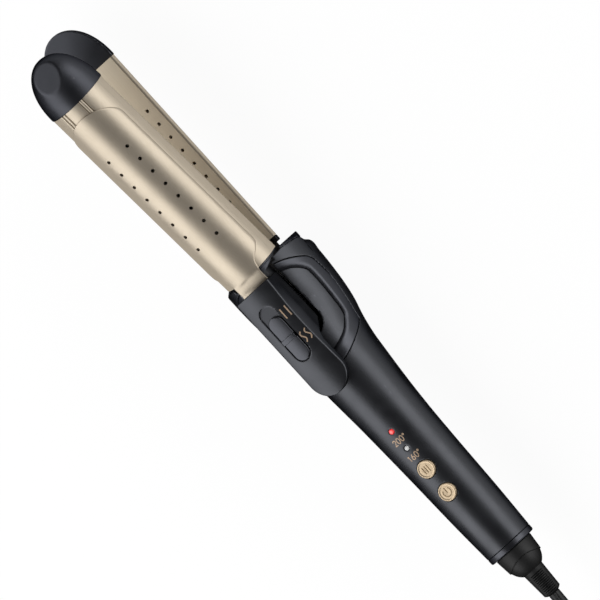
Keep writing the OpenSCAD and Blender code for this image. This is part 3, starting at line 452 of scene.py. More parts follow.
# --- Nose collar, trim and end ring ----------------------------------------
# Three harder ABS pieces in the same black: the collar closes the nose round
# the barrel, the trim band is glued round the sunk panels, the ring ends the grip.
def collar_form(x, y, z):
    rings = np.hypot(y, z - BULGE_Z)
    below = both(rings - STEP_R, BELLY_Z - z)
    above = rings - np.interp(x, [0, 2, 8], [STEP_R, 23.15, BULGE_R])
    form = joined(below, both(above, -5 - z))
    form = both(form, both(-x, x - seam_line(z) + SEAM_GAP), 0.5)
    # a tongue behind it closes the seam from inside
    tongue = joined(both(slab(rings, 17.6, 18.8), z + 5.2),
                    both(slab(rings, 19.9, 21.1), -4.8 - z))
    form = joined(form, both(tongue, slab(x, 0.8, 5)))
    form = without(form, np.hypot(y, z) - 14.0, 0.5)
    return without(form, opening(x, y, z), 0.4)


def trim_form(x, y, z):
    form = body_form(x, y, z, upper_bulge)
    inner = (1.5 * form - plan(x, y, z, *PANEL, 1.1)) / 1.8
    band = both(form, plan(x, y, z, *TRIM, 1.6), 0.5)
    band = both(both(band, -form - 1.34, 0.2), inner, 0.5)
    band = both(band, PANEL_FOOT - z, 0.3)
    return without(band, opening(x, y, z), 0.4)


def turned(profile, count=96):
    """A closed lathe shape round the x axis from [x, radius] points."""
    angles = [2 * pi * k / count for k in range(count)]
    points = [(x, radius * cos(a), radius * sin(a)) for x, radius in profile for a in angles]
    faces = []
    for i in range(len(profile)):
        this, following = i * count, (i + 1) % len(profile) * count
        faces += [(this + k, following + k, following + (k + 1) % count,
                   this + (k + 1) % count) for k in range(count)]
    return points, faces


hard_black = flaked_black("metal_flake_moulded_abs", "#414246", "#54555A", 0.34, 0.008)
piece("nose_collar_ring", *skin(collar_form, (-1, 6, 0.4), (-24, 24, 0.5), (-27, 17, 0.5)),
      hard_black, "handle", "dark_trim", ["nose_collar"])
piece("lever_trim_band", *skin(trim_form, (3, 61, 0.36), (-23.5, 23.5, 0.36),
                               (-5, 17.5, 0.36)),
      hard_black, "handle", "dark_trim", ["lever_bezel"])
piece("grip_end_ring", *turned([
    (170.2, 10.4), (172.9, 10.4), (172.95, 12.5), (173.2, 12.72), (175.2, 12.7),
    (175.7, 12.5), (175.95, 12.15), (176, 11.8), (176, 6.4), (175.8, 6.15), (170.2, 6.15)]),
    hard_black, "handle", "dark_trim", ["end_ring"])


# --- The two half barrels and their flat plates ----------------------------
# Extruded aluminium with a champagne ceramic coating: two half tubes 32 mm
# across, each closed by a flat plate whose vents let cool air through.
BARREL_X0, BARREL_X1, BARREL_R, BORE_R = -117.0, -5.0, 16.0, 14.8
FRONT_X1 = BARREL_X1 + 1.6


def swung(at, x, z, angle):
    """The frame at, moved along its x and z and turned about its y, in degrees."""
    return at @ Matrix.Translation((x, 0, z)) @ Matrix.Rotation(radians(angle), 4, "Y")


# the front half stands open by 9.4 degrees about the hinge pin
ARM = swung(TOOL, HINGE_X, HINGE_Z, 9.4) @ Matrix.Translation((-HINGE_X, 0, -HINGE_Z))


# A thin satin coat with metal flake over drawn or turned metal: it shows a lamp
# as a wide soft band, broken a little by the drawing lines and the coat's grain
def satin_coat(name, colour, deep, rough, drawn=1.0, flake=0.75):
    coat, where = patterned(name)
    # drawing lines along the tube, 0.4 mm apart and 40 mm long
    stretch = node(coat, "Mapping", where, _Scale=(25, 2500, 2500))
    lines = node(coat, "TexNoise", ("Vector", stretch, "Vector"), _Scale=1.0, _Detail=3.0)
    # grain of 0.25 mm, and a gloss that drifts over 17 mm
    grain = node(coat, "TexNoise", where, _Scale=4000.0, _Detail=2.0)
    cloud = node(coat, "TexNoise", where, _Scale=60.0, _Detail=2.0)
    relief = node(coat, "Math", (0, lines, "Fac"), (1, grain, "Fac"), operation="ADD")
    return finished(coat, (lines, "Fac"), (deep, colour), (cloud, "Fac"),
                    (0.3, 0.7, rough - 0.03, rough + 0.03), (relief, "Value"),
                    (0.12 * drawn, 0.01), _Metallic=flake, _Specular_Tint=srgb("#C8C0B4"))


def tube_faces(rings, count):
    """Faces of a tube of rings with count points each, closed at both ends."""
    faces = [(i * count + k, i * count + (k + 1) % count, (i + 1) * count + (k + 1) % count,
              (i + 1) * count + k) for i in range(rings - 1) for k in range(count)]
    return faces + [tuple(reversed(range(count))),
                    tuple(range((rings - 1) * count, rings * count))]


def extruded(section, xs):
    """A bar from a closed [y, z] section, with flat ends."""
    return [(x, y, z) for x in xs for y, z in section], tube_faces(len(xs), len(section))


def drilled(made, at, holes, radius, low, high):
    """Cuts round holes, each one a place and a direction in the frame at."""
    sides = 24
    points, faces = [], []
    for place, way in holes:
        place = (at @ Vector(place)) * MM
        way = (at.to_3x3() @ Vector(way)).normalized()
        side = way.orthogonal().normalized()
        faces += [[len(points) + k for k in face] for face in tube_faces(2, sides)]
        points += [place + way * depth * MM + (side * cos(a) + way.cross(side) * sin(a))
                   * radius * MM for depth in (low, high)
                   for a in (2 * pi * k / sides for k in range(sides))]
    drill = mesh_object("drill", points, faces)
    cut = made.modifiers.new("holes", "BOOLEAN")
    cut.object, cut.operation, cut.solver = drill, "DIFFERENCE", "EXACT"
    bpy.context.view_layer.update()
    done = bpy.data.meshes.new_from_object(
        made.evaluated_get(bpy.context.evaluated_depsgraph_get()))
    made.modifiers.clear()
    made.data = done
    shaded(done)
    bpy.data.objects.remove(drill)


def around(radius, angle):
    """A point round the axis, in degrees from straight up towards +Y."""
    return radius * sin(radians(angle)), radius * cos(radians(angle))


def arc(radius, start, end, step=2.0):
    count = max(2, int(abs(end - start) / step) + 1)
    return [around(radius, angle) for angle in np.linspace(start, end, count)]


def angle_at(height, radius):
    """The angle of arc at which a circle has this height."""
    return degrees(acos(height / radius))


# rear half: outer skin, chamfered rims 0.4 mm under the joint, bore
rim = [(15.75, -0.75), (15.2, -0.45), (14.85, -0.4)]
skin_rim, bore_rim = angle_at(-1.3, BARREL_R), angle_at(-0.6, BORE_R)
rear_half = (arc(BARREL_R, skin_rim, 360 - skin_rim) + [(-y, z) for y, z in rim]
             + arc(BORE_R, 360 - bore_rim, bore_rim, 3) + rim[::-1])
tube_x = [BARREL_X0, BARREL_X0 + 0.15, BARREL_X1 - 0.15, BARREL_X1]
champagne = satin_coat("ceramic_coated_aluminium", "#ABA192", "#A19685", 0.42)
piece("rear_half_barrel", *extruded(rear_half[::-1], tube_x), champagne,
      "handle", "gold_metal", ["rear_barrel"])

# front half: two pairs of fine grooves run along it, degrees from its top
GROOVES, GROOVE_DEPTH, GROOVE_W, FRONT_RIM_Z = (-24.5, -17, 17, 24.5), 0.7, 0.27, 5.75
wall_up, bore_up = angle_at(FRONT_RIM_Z, BARREL_R), angle_at(FRONT_RIM_Z, BORE_R)
front_half = []
for a in sorted(set(np.round(np.concatenate([
        np.linspace(-wall_up, wall_up, 71),
        *[np.linspace(g - 1.4, g + 1.4, 15) for g in GROOVES]]), 3))):
    dip = max(exp(-((a - g) * BARREL_R * pi / 180 / GROOVE_W) ** 2) for g in GROOVES)
    front_half.append(around(BARREL_R - GROOVE_DEPTH * dip, a))
front_half += arc(BORE_R, bore_up, -bore_up, 3)
front_tube_x = [BARREL_X0, BARREL_X0 + 0.15, FRONT_X1 - 0.15, FRONT_X1]
front_tube = piece("front_half_barrel", *extruded(front_half[::-1], front_tube_x), champagne,
                   "front_arm", "gold_metal", ["front_barrel"], ARM)

# the plates: the rear one lies in its half, the front one also has low side walls
# the rear plate's coat is painted paler and less metallic than the front plate's, to lift the
# shade that the open front half casts on it
shade_lifted_plate_coat = satin_coat("ceramic_coated_plate_painted_paler", "#D9CDB8", "#CEC1AB", 0.5, 0.6, 0.4)
rear_flat = [(14.83, -0.5), (14.75, -0.4), (-14.75, -0.4), (-14.83, -0.5), (-14.4, -3.4),
             (14.4, -3.4)]
rear_flat_plate = piece("rear_flat_plate", *extruded(rear_flat, tube_x), shade_lifted_plate_coat,
                        "handle", "gold_plate", ["rear_plate"])
front_flat = [(14.9, 0.4), (15.6, 0.75)]
front_flat += arc(BARREL_R, angle_at(1.3, BARREL_R), angle_at(5.7, BARREL_R))
front_flat += arc(BORE_R, angle_at(5.7, BORE_R), angle_at(3.4, BORE_R))
front_flat += [(-y, z) for y, z in reversed(front_flat)]
front_flat_plate = piece("front_flat_plate", *extruded(front_flat, front_tube_x), champagne,
                         "front_arm", "gold_plate", ["front_plate"], ARM)

# nine pairs of vents through each plate, eight through the front half and spoon
VENT_R = 0.9
plate_vents = [((BARREL_X0 + 30 + 8.1 * i, side * 10.4, 0), (0, 0, 1))
               for i in range(9) for side in (-1, 1)]
spoon_vents = [((BARREL_X0 + 30.2 + 8.3 * i, 0, 0), (0, sin(a), cos(a)))
               for i in range(8) for a in (radians(-21.5), radians(21.5))]
drilled(rear_flat_plate, TOOL, plate_vents, VENT_R, -5, 5)
drilled(front_flat_plate, ARM, plate_vents, VENT_R, -5, 5)
drilled(front_tube, ARM, spoon_vents, VENT_R, 12, 18)


# --- Tip caps and collars --------------------------------------------------
# Heat-proof black nylon: a rounded cap with a slanted flat closes the tip of
# each half barrel, and a thin half ring goes round its rear end.
CAP_R, CAP_LEN, CAP_POWER = 16.35, 24.8, 2.15
FLAT_OUT, FLAT_SLOPE = 10.5, radians(37)
FLAT_Z = CAP_R * (1 - (FLAT_OUT / CAP_LEN) ** CAP_POWER) ** (1 / CAP_POWER)


def cap_form(x, y, z):
    """The upper cap, as it closes the front half."""
    out = np.maximum(BARREL_X0 - x, 0) / CAP_LEN
    near = (out ** CAP_POWER + (np.hypot(y, z) / CAP_R) ** CAP_POWER) ** (1 / CAP_POWER)
    form = (near - 1) * CAP_R * 0.9
    flat = ((z - FLAT_Z) * cos(FLAT_SLOPE) - (x - (BARREL_X0 - FLAT_OUT)) * sin(FLAT_SLOPE))
    form = both(form, flat, 0.35)
    form = both(form, x - BARREL_X0 - 0.02, 0.4)
    form = both(form, 0.42 - z, 0.5)
    plug = both(slab(np.hypot(y, z), 12.8, 14.7), slab(x, BARREL_X0 - 1, BARREL_X0 + 6))
    return joined(form, both(plug, 5.8 - z))


def half_ring(start, outer, above):
    """Half a collar, over (above = 1) or under (-1) the joint of the barrels."""
    def form(x, y, z):
        rings = np.hypot(y, z)
        ring = both(both(rings - outer, 13.85 - rings), slab(x, start, -2.0), 0.7)
        return both(ring, above * (0.42 * above - z), 0.3)
    return form


nylon = flaked_black("heat_proof_nylon", "#3B3C40", "#4C4D51", 0.4, 0.01)
cap_points, cap_faces = skin(cap_form, (-143, -110, 0.42), (-17.5, 17.5, 0.42),
                             (-0.5, 17.5, 0.42))
piece("front_end_cap", cap_points, cap_faces, nylon, "front_arm", "dark_trim",
      ["front_tip_cap"], ARM)
piece("rear_end_cap", cap_points * [1, 1, -1], cap_faces[:, ::-1], nylon, "handle",
      "dark_trim", ["rear_tip_cap"])
for end, start, outer, above, z_span, body, at in (
        ("front", FRONT_X1, 15.0, 1, (-0.6, 17, 0.36), "front_arm", ARM),
        ("rear", BARREL_X1, 16.0, -1, (-17, 0.6, 0.36), "handle", TOOL)):
    piece(end + "_barrel_collar", *skin(half_ring(start + 0.02, outer, above),
                                        (-6, -1, 0.25), (-17, 17, 0.36), z_span),
          nylon, body, "dark_trim", [end + "_collar"], at)


# --- The spoon clamp -------------------------------------------------------
# A sheet of spring steel 0.9 mm thick with the same champagne coating, curved
# to lie on the front half barrel; its neck is flatter and screwed into the lever.
SPOON_X0, SPOON_TIP, SPOON_W, SPOON_R, SPOON_T = BARREL_X0 + 6.7, 11.3, 14.2, 16.1, 0.9
SPOON_END, ACROSS_N = 13, 24
neck_line = smooth_line([
    [-40, SPOON_W], [-20, SPOON_W], [-14.5, SPOON_W], [-12.2, 13.75], [-10.3, 12.3],
    [-8.6, 10.5], [-6.8, 9.1], [-4.2, 8.3], [0, 8.1], [SPOON_END, 8.1]])
tip_end = SPOON_X0 + SPOON_TIP
spoon_x = np.concatenate([
    SPOON_X0 + SPOON_TIP * (1 - np.cos(np.radians(np.linspace(5, 90, 22)))),
    np.linspace(tip_end, -16, 30)[1:], np.linspace(-16, SPOON_END, 60)[1:]])
spoon_points = []
for x in spoon_x:
    # a round tip, straight sides, then the neck
    out = (x - SPOON_X0) / SPOON_TIP
    half_w = SPOON_W * sqrt(out * (2 - out)) if out < 1 else float(neck_line(x))
    # the neck is pressed flat behind the barrel
    flat = float(np.clip((x + 4.4) / 2.2, 0, 1))
    flat = flat * flat * (3 - 2 * flat)
    bent = float(np.interp(x, [-4.4, -2.2, 1.9, 3.4], [0, 1, 1, 0]))
    edge = min(0.28, half_w * 0.3)
    across_y = half_w * np.sin(np.radians(np.linspace(-90, 90, ACROSS_N)))
    for lift, row in ((SPOON_T, across_y), (0.0, across_y[::-1])):
        for y in row:
            rounded = max(0.0, 1 - (half_w - abs(y)) / max(edge, 1e-6))
            r = SPOON_R + lift + (edge * (1 - sqrt(max(0, 1 - rounded ** 2)))
                                  * (-1 if lift else 1) if rounded > 0 else 0)
            round_z = sqrt(r * r - y * y)
            flat_z = r - 0.35 - y * y / 90 + 0.07 * y * bent
            spoon_points.append((x, y, round_z + (flat_z - round_z) * flat))
spoon_coat = satin_coat("ceramic_coated_spring_steel", "#ABA192", "#A19685", 0.4)
spoon = piece("spoon_clamp_sheet", spoon_points,
              [f[::-1] for f in tube_faces(len(spoon_x), 2 * ACROSS_N)], spoon_coat,
              "clamp", "gold_metal", ["clamp_spoon"], ARM)
drilled(spoon, ARM, spoon_vents, VENT_R, 12, 20)


# --- The thumb lever and its slide -----------------------------------------
# A hollow ABS shell in the body's paint. Its top is crowned across, its sides
# lean out, and the thin tail is where the thumb presses; a slide sits in its slot.
LEVER = swung(ARM, 1.6, 24.7, -8.6)
LEVER_LEN, LEVER_W, TAIL_R, CROWN_R = 61.2, 10.35, 10.4, 26.0
WALL_FOOT = [[-5, -15.3], [0, -15.3], [1, -16.3], [20, -17.3], [28.5, -17.3], [34, -8],
             [38, -5.6], [70, -5.6]]
pinch_line = smooth_line([[-5, 0], [0, 0.1], [8, 0.7], [18, 1.35], [30, 1.4], [42, 0.9],
                          [52, 0.35], [62, 0.1]])
SLOT_Y = -1.0                       # the slot lies a little left of the middle
PIN_X, PIN_Z = 24.88, -13.37


def crown(y, z, lift=0.0):
    return np.hypot(y, z + CROWN_R) - CROWN_R - lift


def capsule(x, y, start, length, width):
    from_middle = np.maximum(np.abs(x - start - length / 2) - (length - width) / 2, 0)
    return np.hypot(from_middle, y - SLOT_Y) - width / 2


def lever_plan(x, y, z, inset=0.0):
    # the right side is pinched towards the top, where the thumb lies
    lean = pinch_line(x) * np.clip((z + 9) / 8, 0, 1) ** 1.5 * (y > 0)
    half_w = LEVER_W + (TAIL_R - LEVER_W) * np.clip(x / 50.8, 0, 1) - lean - inset
    past = np.maximum(x - (LEVER_LEN - TAIL_R), 0)
    return both(np.hypot(past, y) - half_w, inset - x, 0.6)


def lever_form(x, y, z):
    form = both(lever_plan(x, y, z), crown(y, z), 0.55)
    foot = np.interp(x, *np.transpose(WALL_FOOT)) - z
    form = both(form, foot * np.where((x > 28) & (x < 38), 0.6, 1.0), 0.8)
    hollow = both(lever_plan(x, y, z, 1.5), both(z + 2.6, x - 44))
    form = without(form, hollow, 0.3)
    neck_way = both(np.abs(y) - 8.35, both(z + 7.3, x - 1.8))
    form = without(form, neck_way, 0.3)
    form = without(form, both(capsule(x, y, 8.6, 31.6, 9.0), -1.25 - z), 0.35)
    eye = both(np.hypot(x - PIN_X, z - PIN_Z) - 1.46, np.abs(y) - 9.85)
    return without(form, eye, 0.2)


piece("thumb_lever_shell", *skin(lever_form, (-1, 62.5, 0.36), (-11.2, 11.2, 0.36),
                                 (-18, 0.8, 0.36)),
      soft_paint, "clamp", "dark_housing", ["thumb_lever"], LEVER)

# the slide: two pads with a grip bar between them, on the same crown
SLIDE_X0, SLIDE_LEN, BAR_X = 14.95, 24.8, 27.4


def slide_form(x, y, z):
    pad = capsule(x, y, SLIDE_X0, SLIDE_LEN, 8.1)
    form = both(both(pad, crown(y, z, 0.25), 0.5), -1.15 - z, 0.2)
    bar = both(np.abs(x - BAR_X) - 1.25, capsule(x, y, SLIDE_X0, SLIDE_LEN, 7.9), 0.3)
    bar = both(bar, crown(y, z, 1.35), 0.35)
    form = joined(form, both(bar, -0.8 - z))
    shank = both(capsule(x, y, 23.2, 7, 4), slab(z, -2.6, -1))
    return joined(form, shank)


piece("mode_slide_knob", *skin(slide_form, (14, 41, 0.24), (-6, 4, 0.24), (-3, 2.2, 0.24)),
      hard_black, "mode_slide", "dark_trim", ["mode_slide"], LEVER)


# --- The arm's neck --------------------------------------------------------
# The nylon arm plugs into the front half barrel with a round neck, whose rear
# end is cut back at a slant so that it clears the body when the jaws open.
def neck_form(x, y, z):
    rings = np.hypot(y, z)
    form = both(both(rings - 13.8, 11.8 - rings), np.abs(y) - 12.3, 0.5)
    back = x - 1.4 + 0.36 * np.maximum(np.abs(y) - 5.5, 0)
    form = both(form, both(FRONT_X1 - 1 - x, back), 0.4)
    return both(form, 3.5 - z, 0.4)


piece("arm_neck", *skin(neck_form, (-5.5, 2, 0.35), (-13, 13, 0.4), (3, 14.5, 0.35)),
      nylon, "front_arm", "dark_trim", at=ARM)


# --- Two buttons on the grip -----------------------------------------------
# Turned aluminium caps with a dished face and a bevelled rim, anodised in satin
# champagne; each snaps in from inside, held by a flange, over a tact switch.
BUTTON_R, BUTTON_UP = 4.4, 0.5


def grip_top(x, y=0.0):
    """Height of the grip's skin above the axis."""
    return sqrt(grip_line(x) ** 2 - y * y)


def upright(x):
    """A frame whose own x axis points up out of the grip."""
    return swung(TOOL, x, 0, -90)


satin_cap = satin_coat("anodised_turned_aluminium", "#B8A58B", "#AC9A80", 0.42, 1.4)
for mark, x in BUTTONS.items():
    top = grip_top(x) + BUTTON_UP
    low = grip_top(x + BUTTON_R + 1.2) - 4.2
    outline = [(low, 0.02), (low, 4.75), (low + 1, 4.75), (low + 1, BUTTON_R)]
    outline += [(top - down, radius) for down, radius in (
        (0.55, BUTTON_R), (0.25, 4.33), (0.08, 4.18), (0, 3.95), (0.03, 3.72), (0.18, 3.5),
        (0.24, 3.3), (0.2, 3.0), (0.3, 1.5), (0.33, 0.02))]
    piece(mark + "_button_cap", *turned(outline), satin_cap, mark + "_button", "button_gold",
          [mark + "_button"], upright(x), 30)


# --- Lamps -----------------------------------------------------------------
# Two light pipes of clear acrylic end in small domes: red for the high heat,
# lit here, and milky white for the low heat, unlit, yet given a faint painted glow.
def acrylic(name, colour, deep, glow, strength, chip):
    lens, where = patterned(name)
    # clouding inside the moulding, 0.6 mm across
    cloud = node(lens, "TexNoise", where, _Scale=1600.0, _Detail=2.0)
    # the chip under the dome lights its middle most
    away = node(lens, "VectorMath", (0, *where[1:]), operation="DISTANCE")
    away.inputs[1].default_value = chip
    light = node(lens, "MapRange", ("Value", away, "Value"), _From_Min=0.35 * MM,
                 _From_Max=1.3 * MM, _To_Min=1.0, _To_Max=0.0)
    shine = node(lens, "MapRange", ("Value", light, "Result"),
                 _To_Min=0.12 * strength, _To_Max=strength)
    hue = node(lens, "Mix", ("Factor", light, "Result"), data_type="RGBA",
               _A=srgb(colour), _B=srgb(glow))
    return finished(lens, (cloud, "Fac"), (deep, colour), (cloud, "Fac"), (0, 1, 0.16, 0.3),
                    (cloud, "Fac"), (0.1, 0.01), ("Emission Color", hue, "Result"),
                    ("Emission Strength", shine, "Result"), _IOR=1.49)


for lamp, colours, strength, radius, slot in (
        ("hot", ("#D8262A", "#A01016", "#FF8C86"), 0.95, 1.38, "red_lens"),
        # the unlit white dome's weak glow, brightest in its middle, is painted light
        ("ready", ("#C9CAC9", "#A8A9A8", "#FFFFFF"), 0.1, 1.15, "white_lens")):
    x = LAMPS[lamp]
    top = grip_top(x) + 0.4
    lens = acrylic(slot.replace("lens", "acrylic_lens"), *colours, strength,
                   upright(x) @ Vector((top, 0, 0)) * MM)
    outline = [(5.7, 0.02), (5.7, 2.2), (7.2, 2.2), (7.2, radius)]
    outline += [(top - down, r) for down, r in (
        (0.55, radius), (0.3, radius - 0.12), (0.12, radius - 0.42), (0.03, 0.5 * radius),
        (0, 0.02))]
    piece(lamp + "_lamp_dome", *turned(outline, 48), lens, "handle", slot,
          [lamp + "_lamp"], upright(x), 50)


# --- Printed and engraved marks --------------------------------------------
# Pad-printed tan ink: bars and waves beside the mode slide, two temperatures
# beside the lamps, and a cut mark filled with darker ink on each button.
def unit(ways):
    return ways / np.linalg.norm(ways, axis=1)[:, None]


def printed(name, lines, width, surface, ink, body, at=TOOL):
    """Strips of ink of one width along lines of (x, y), laid on surface(x, y)."""
    points, faces = [], []
    for line in lines:
        line = np.array(line, float)
        loop = bool(np.allclose(line[0], line[-1]))
        if loop:
            line = line[:-1]
        ahead, behind = np.roll(line, -1, 0) - line, line - np.roll(line, 1, 0)
        if not loop:
            ahead[-1], behind[0] = behind[-1], ahead[0]
        left, side = unit(ahead)[:, ::-1] * [-1, 1], unit(behind)[:, ::-1] * [-1, 1]
        side = unit(left + side)
        reach = 0.5 * width / np.maximum(0.6, (side * left).sum(1))
        first, count = len(points), len(line)
        for middle, way, far in zip(line, side, reach):
            for sign, lift in ((1, 0.05), (-1, 0.05), (-1, -0.1), (1, -0.1)):
                x, y = middle + sign * far * way
                points.append((x, y, surface(x, y) + lift))
        for i in range(count if loop else count - 1):
            a, b = first + 4 * i, first + 4 * ((i + 1) % count)
            faces += [(a + k, a + (k + 1) % 4, b + (k + 1) % 4, b + k) for k in range(4)]
        if not loop:
            end = first + 4 * (count - 1)
            faces += [(first + 3, first + 2, first + 1, first),
                      (end, end + 1, end + 2, end + 3)]
    piece(name, points, faces, ink, body, "button_gold", at=at)


def bow(radius, start, end, x=0.0, y=0.0, tall=1.0):
    return [(x + radius * cos(a), y + tall * radius * sin(a))
            for a in np.radians(np.linspace(start, end, 28))]


# strokes of each figure, one wide and 1.6 high before they are scaled
FIGURES = {
    "0": [bow(0.5, 90, 450, 0.5, 0.8, 1.6)],
    "1": [[(0.15, 1.25), (0.6, 1.6), (0.6, 0.0)]],
    "2": [[(0.02, 1.2), (0.14, 1.47), (0.4, 1.6), (0.68, 1.57), (0.9, 1.38), (0.94, 1.1),
           (0.8, 0.82), (0.02, 0.0), (1.0, 0.0)]],
    "6": [bow(0.47, 150, 510, 0.5, 0.47), [(0.08, 0.62), (0.32, 1.2), (0.66, 1.6)]],
    "o": [bow(0.2, 90, 450, 0.2, 1.4)],
}
HIGH, WIDE, STEP, STROKE = 1.8, 1.5, 2.15, 0.42
# both inks hold a little bronze powder, so they brighten and dim with the gold
tan_ink = satin_coat("tan_pad_printing_ink", "#B09A84", "#A18B75", 0.6)
dark_ink = satin_coat("engraved_ink_fill", "#7A6850", "#6C5B45", 0.6)
for lamp, x, text in (("hot", 105.3, "200o"), ("ready", 115.3, "160o")):
    start = -0.5 * STEP * (len(text) - 0.7)
    strokes = [[(x - high * HIGH, start + STEP * i + wide * WIDE) for wide, high in stroke]
               for i, figure in enumerate(text) for stroke in FIGURES[figure]]
    printed(lamp + "_temperature_print", strokes, STROKE, grip_top, tan_ink, "handle")

WAVE = [(0.0, 0.35), (0.5, -0.2), (1.1, -0.6), (1.8, -0.6), (2.5, -0.15), (3.2, 0.35),
        (3.9, 0.65), (4.6, 0.6), (5.2, 0.15), (5.8, -0.3)]
lever_lines = [[(14.25, y), (17, y), (19.8, y)] for y in (7.8, 5.1)]
lever_lines += [[(28.2 + x, y + wave) for x, wave in WAVE] for y in (7.6, 4.9)]
printed("lever_mark_print", lever_lines, 0.6, lambda x, y: sqrt(CROWN_R ** 2 - y * y) - CROWN_R,
        tan_ink, "clamp", LEVER)

power_mark = [bow(2.1, -138, 138), [(-2.7, 0.0), (-1.2, 0.0), (0.3, 0.0)]]
mode_mark = [[(-1.9, y), (0.0, y), (1.9, y)] for y in (-1.35, 0.0, 1.35)]
for mark, strokes in (("mode", mode_mark), ("power", power_mark)):
    x = BUTTONS[mark]
    face = grip_top(x) + BUTTON_UP - 0.28
    printed(mark + "_button_mark", [[(x + u, v) for u, v in line] for line in strokes], 0.46,
            lambda x, y, face=face: face, dark_ink, mark + "_button")


# --- The swivel and its strain relief --------------------------------------
# A tapered socket of black rubber-like nylon turns on a journal in the grip's
# end. The moulded ball inside it carries the slotted PVC strain relief.
SWIVEL_X, BALL_X, BALL_R, RELIEF_X, RELIEF_END = 176.3, 182.4, 9.2, 189.3, 204.1
SOCKET_RIM, SCALLOP_R = 185.2, 15.6
SWIVEL_TURN = radians(22.5)         # how far it stands turned from upright


def slot_frame(y, z):
    """Distances along and across the way in which scallops and slots are cut."""
    return (y * sin(SWIVEL_TURN) + z * cos(SWIVEL_TURN),
            y * cos(SWIVEL_TURN) - z * sin(SWIVEL_TURN))


def swivel_form(x, y, z):
    rings = np.hypot(y, z)
    sideways = slot_frame(y, z)[1]
    socket = both(rings - np.interp(x, [SWIVEL_X, SOCKET_RIM], [10.3, 9.4]),
                  slab(x, SWIVEL_X - 0.18, SOCKET_RIM + 0.4), 0.4)
    scallop = np.hypot(x - SOCKET_RIM + 3.5 - SCALLOP_R, sideways) - SCALLOP_R
    socket = without(socket, scallop, 0.3)
    ball = both(np.hypot(x - BALL_X, rings) - BALL_R, SWIVEL_X + 0.5 - x)
    form = joined(socket, ball)
    journal = joined(both(rings - 6, slab(x, 167, 177)), both(rings - 8, slab(x, 167, 169.6)))
    return without(joined(form, journal), both(rings - 3.4, x - 178), 0.3)


def relief_form(x, y, z):
    rings = np.hypot(y, z)
    outer = np.interp(x, [RELIEF_X, 203.0, RELIEF_END - 0.05], [5.4, 4.65, 3.3])
    form = both(rings - outer, slab(x, 184, RELIEF_END - 0.05), 0.35)
    ahead, sideways = slot_frame(y, z)
    for i in range(12):
        slot_x = 191.75 + 0.985 * i
        slot = both(both(slab(x, slot_x, slot_x + 0.52), np.abs(sideways) - 4.1),
                    outer - 1.4 - np.abs(ahead), 0.1)
        form = without(form, slot, 0.08)
    return form


soft_nylon = flaked_black("rubber_touch_nylon", "#303030", "#3E3E3E", 0.55, 0.01)
pvc = flaked_black("moulded_pvc", "#2F2F2F", "#3A3A3A", 0.6)
piece("swivel_socket_and_ball", *skin(swivel_form, (166, 192.5, 0.4), (-11, 11, 0.4),
                                      (-11, 11, 0.4)),
      soft_nylon, "swivel", "cord_rubber", ["swivel_cap"])
piece("slotted_strain_relief", *skin(relief_form, (183.5, 191, 0.4, 204.6, 0.155),
                                     (-5.9, 5.9, 0.3), (-5.9, 5.9, 0.3)),
      pvc, "swivel", "cord_rubber", ["strain_relief"])


# --- The cord, folded into a tied hank -------------------------------------
# 1.8 m of two-core PVC cord, round and 6 mm thick, with two fine grooves along
# its top and two below. It lies on the table, folded into a hank of three layers.
CORD_R, LAYERS = 3.0, (3.9, 9.9, 15.9)
ROW = Matrix.Identity(4)            # the hank is drawn in the model's own frame
route = [[173, 0, 26], [180, 0, 26], [187, -1, 25], [194, -3, 22.5], [201, -6, 18.5],
         [208, -10, 14], [215, -14, 9.5], [222, -18, 6], [229, -21, 4], [237, -23, 3.2],
         [246, -24, 3.4], [254, -24, 3.8]]
# half turns, far end and near end by turns: x, y, radius, layer before and after
folds = ((347, 0, 24, 0, 0), (262, 3, 21, 0, 0), (347, 0, 18, 0, 0), (266, 0, 18, 0, 1),
         (347, 0, 18, 1, 1), (262, -3, 21, 1, 1), (347, 0, 24, 1, 1), (258, 0, 24, 1, 2),
         (347, 0, 24, 2, 2), (262, 3, 21, 2, 2), (347, 0, 18, 2, 2))
for i, (x, y, radius, before, after) in enumerate(folds):
    way, low, high = 1 - 2 * (i % 2), LAYERS[before], LAYERS[after]
    for k in range(17):
        turn, rise = pi * k / 16, (k / 16) ** 2 * (3 - k / 8)
        route.append([x + way * radius * sin(turn), y - way * radius * cos(turn),
                      low + (high - low) * rise])
route += [[337, 18, 16.2], [330, 18.8, 18.9], [323, 20, 21.8], [316, 20.8, 24.2],
          [310, 21, 25.3], [302, 21, 25.4]]


def smoothed(line, rounds):
    for _ in range(rounds):
        line[1:-1] = 0.25 * line[:-2] + 0.5 * line[1:-1] + 0.25 * line[2:]
    return line


# straight runs get points every 12 mm, then the whole line is smoothed
line = [np.array(route[0], float)]
for point in np.array(route[1:], float):
    steps = max(1, int(np.linalg.norm(point - line[-1]) // 12))
    line += [line[-1] + (point - line[-1]) * k / steps for k in range(1, steps + 1)]
line = smoothed(np.array(line), 2)
gone = np.concatenate([[0], np.cumsum(np.linalg.norm(np.diff(line, axis=0), axis=1))])
even = np.linspace(0, gone[-1], int(gone[-1] / 2.4))
line = smoothed(np.stack([np.interp(even, gone, line[:, i]) for i in range(3)], 1), 4)

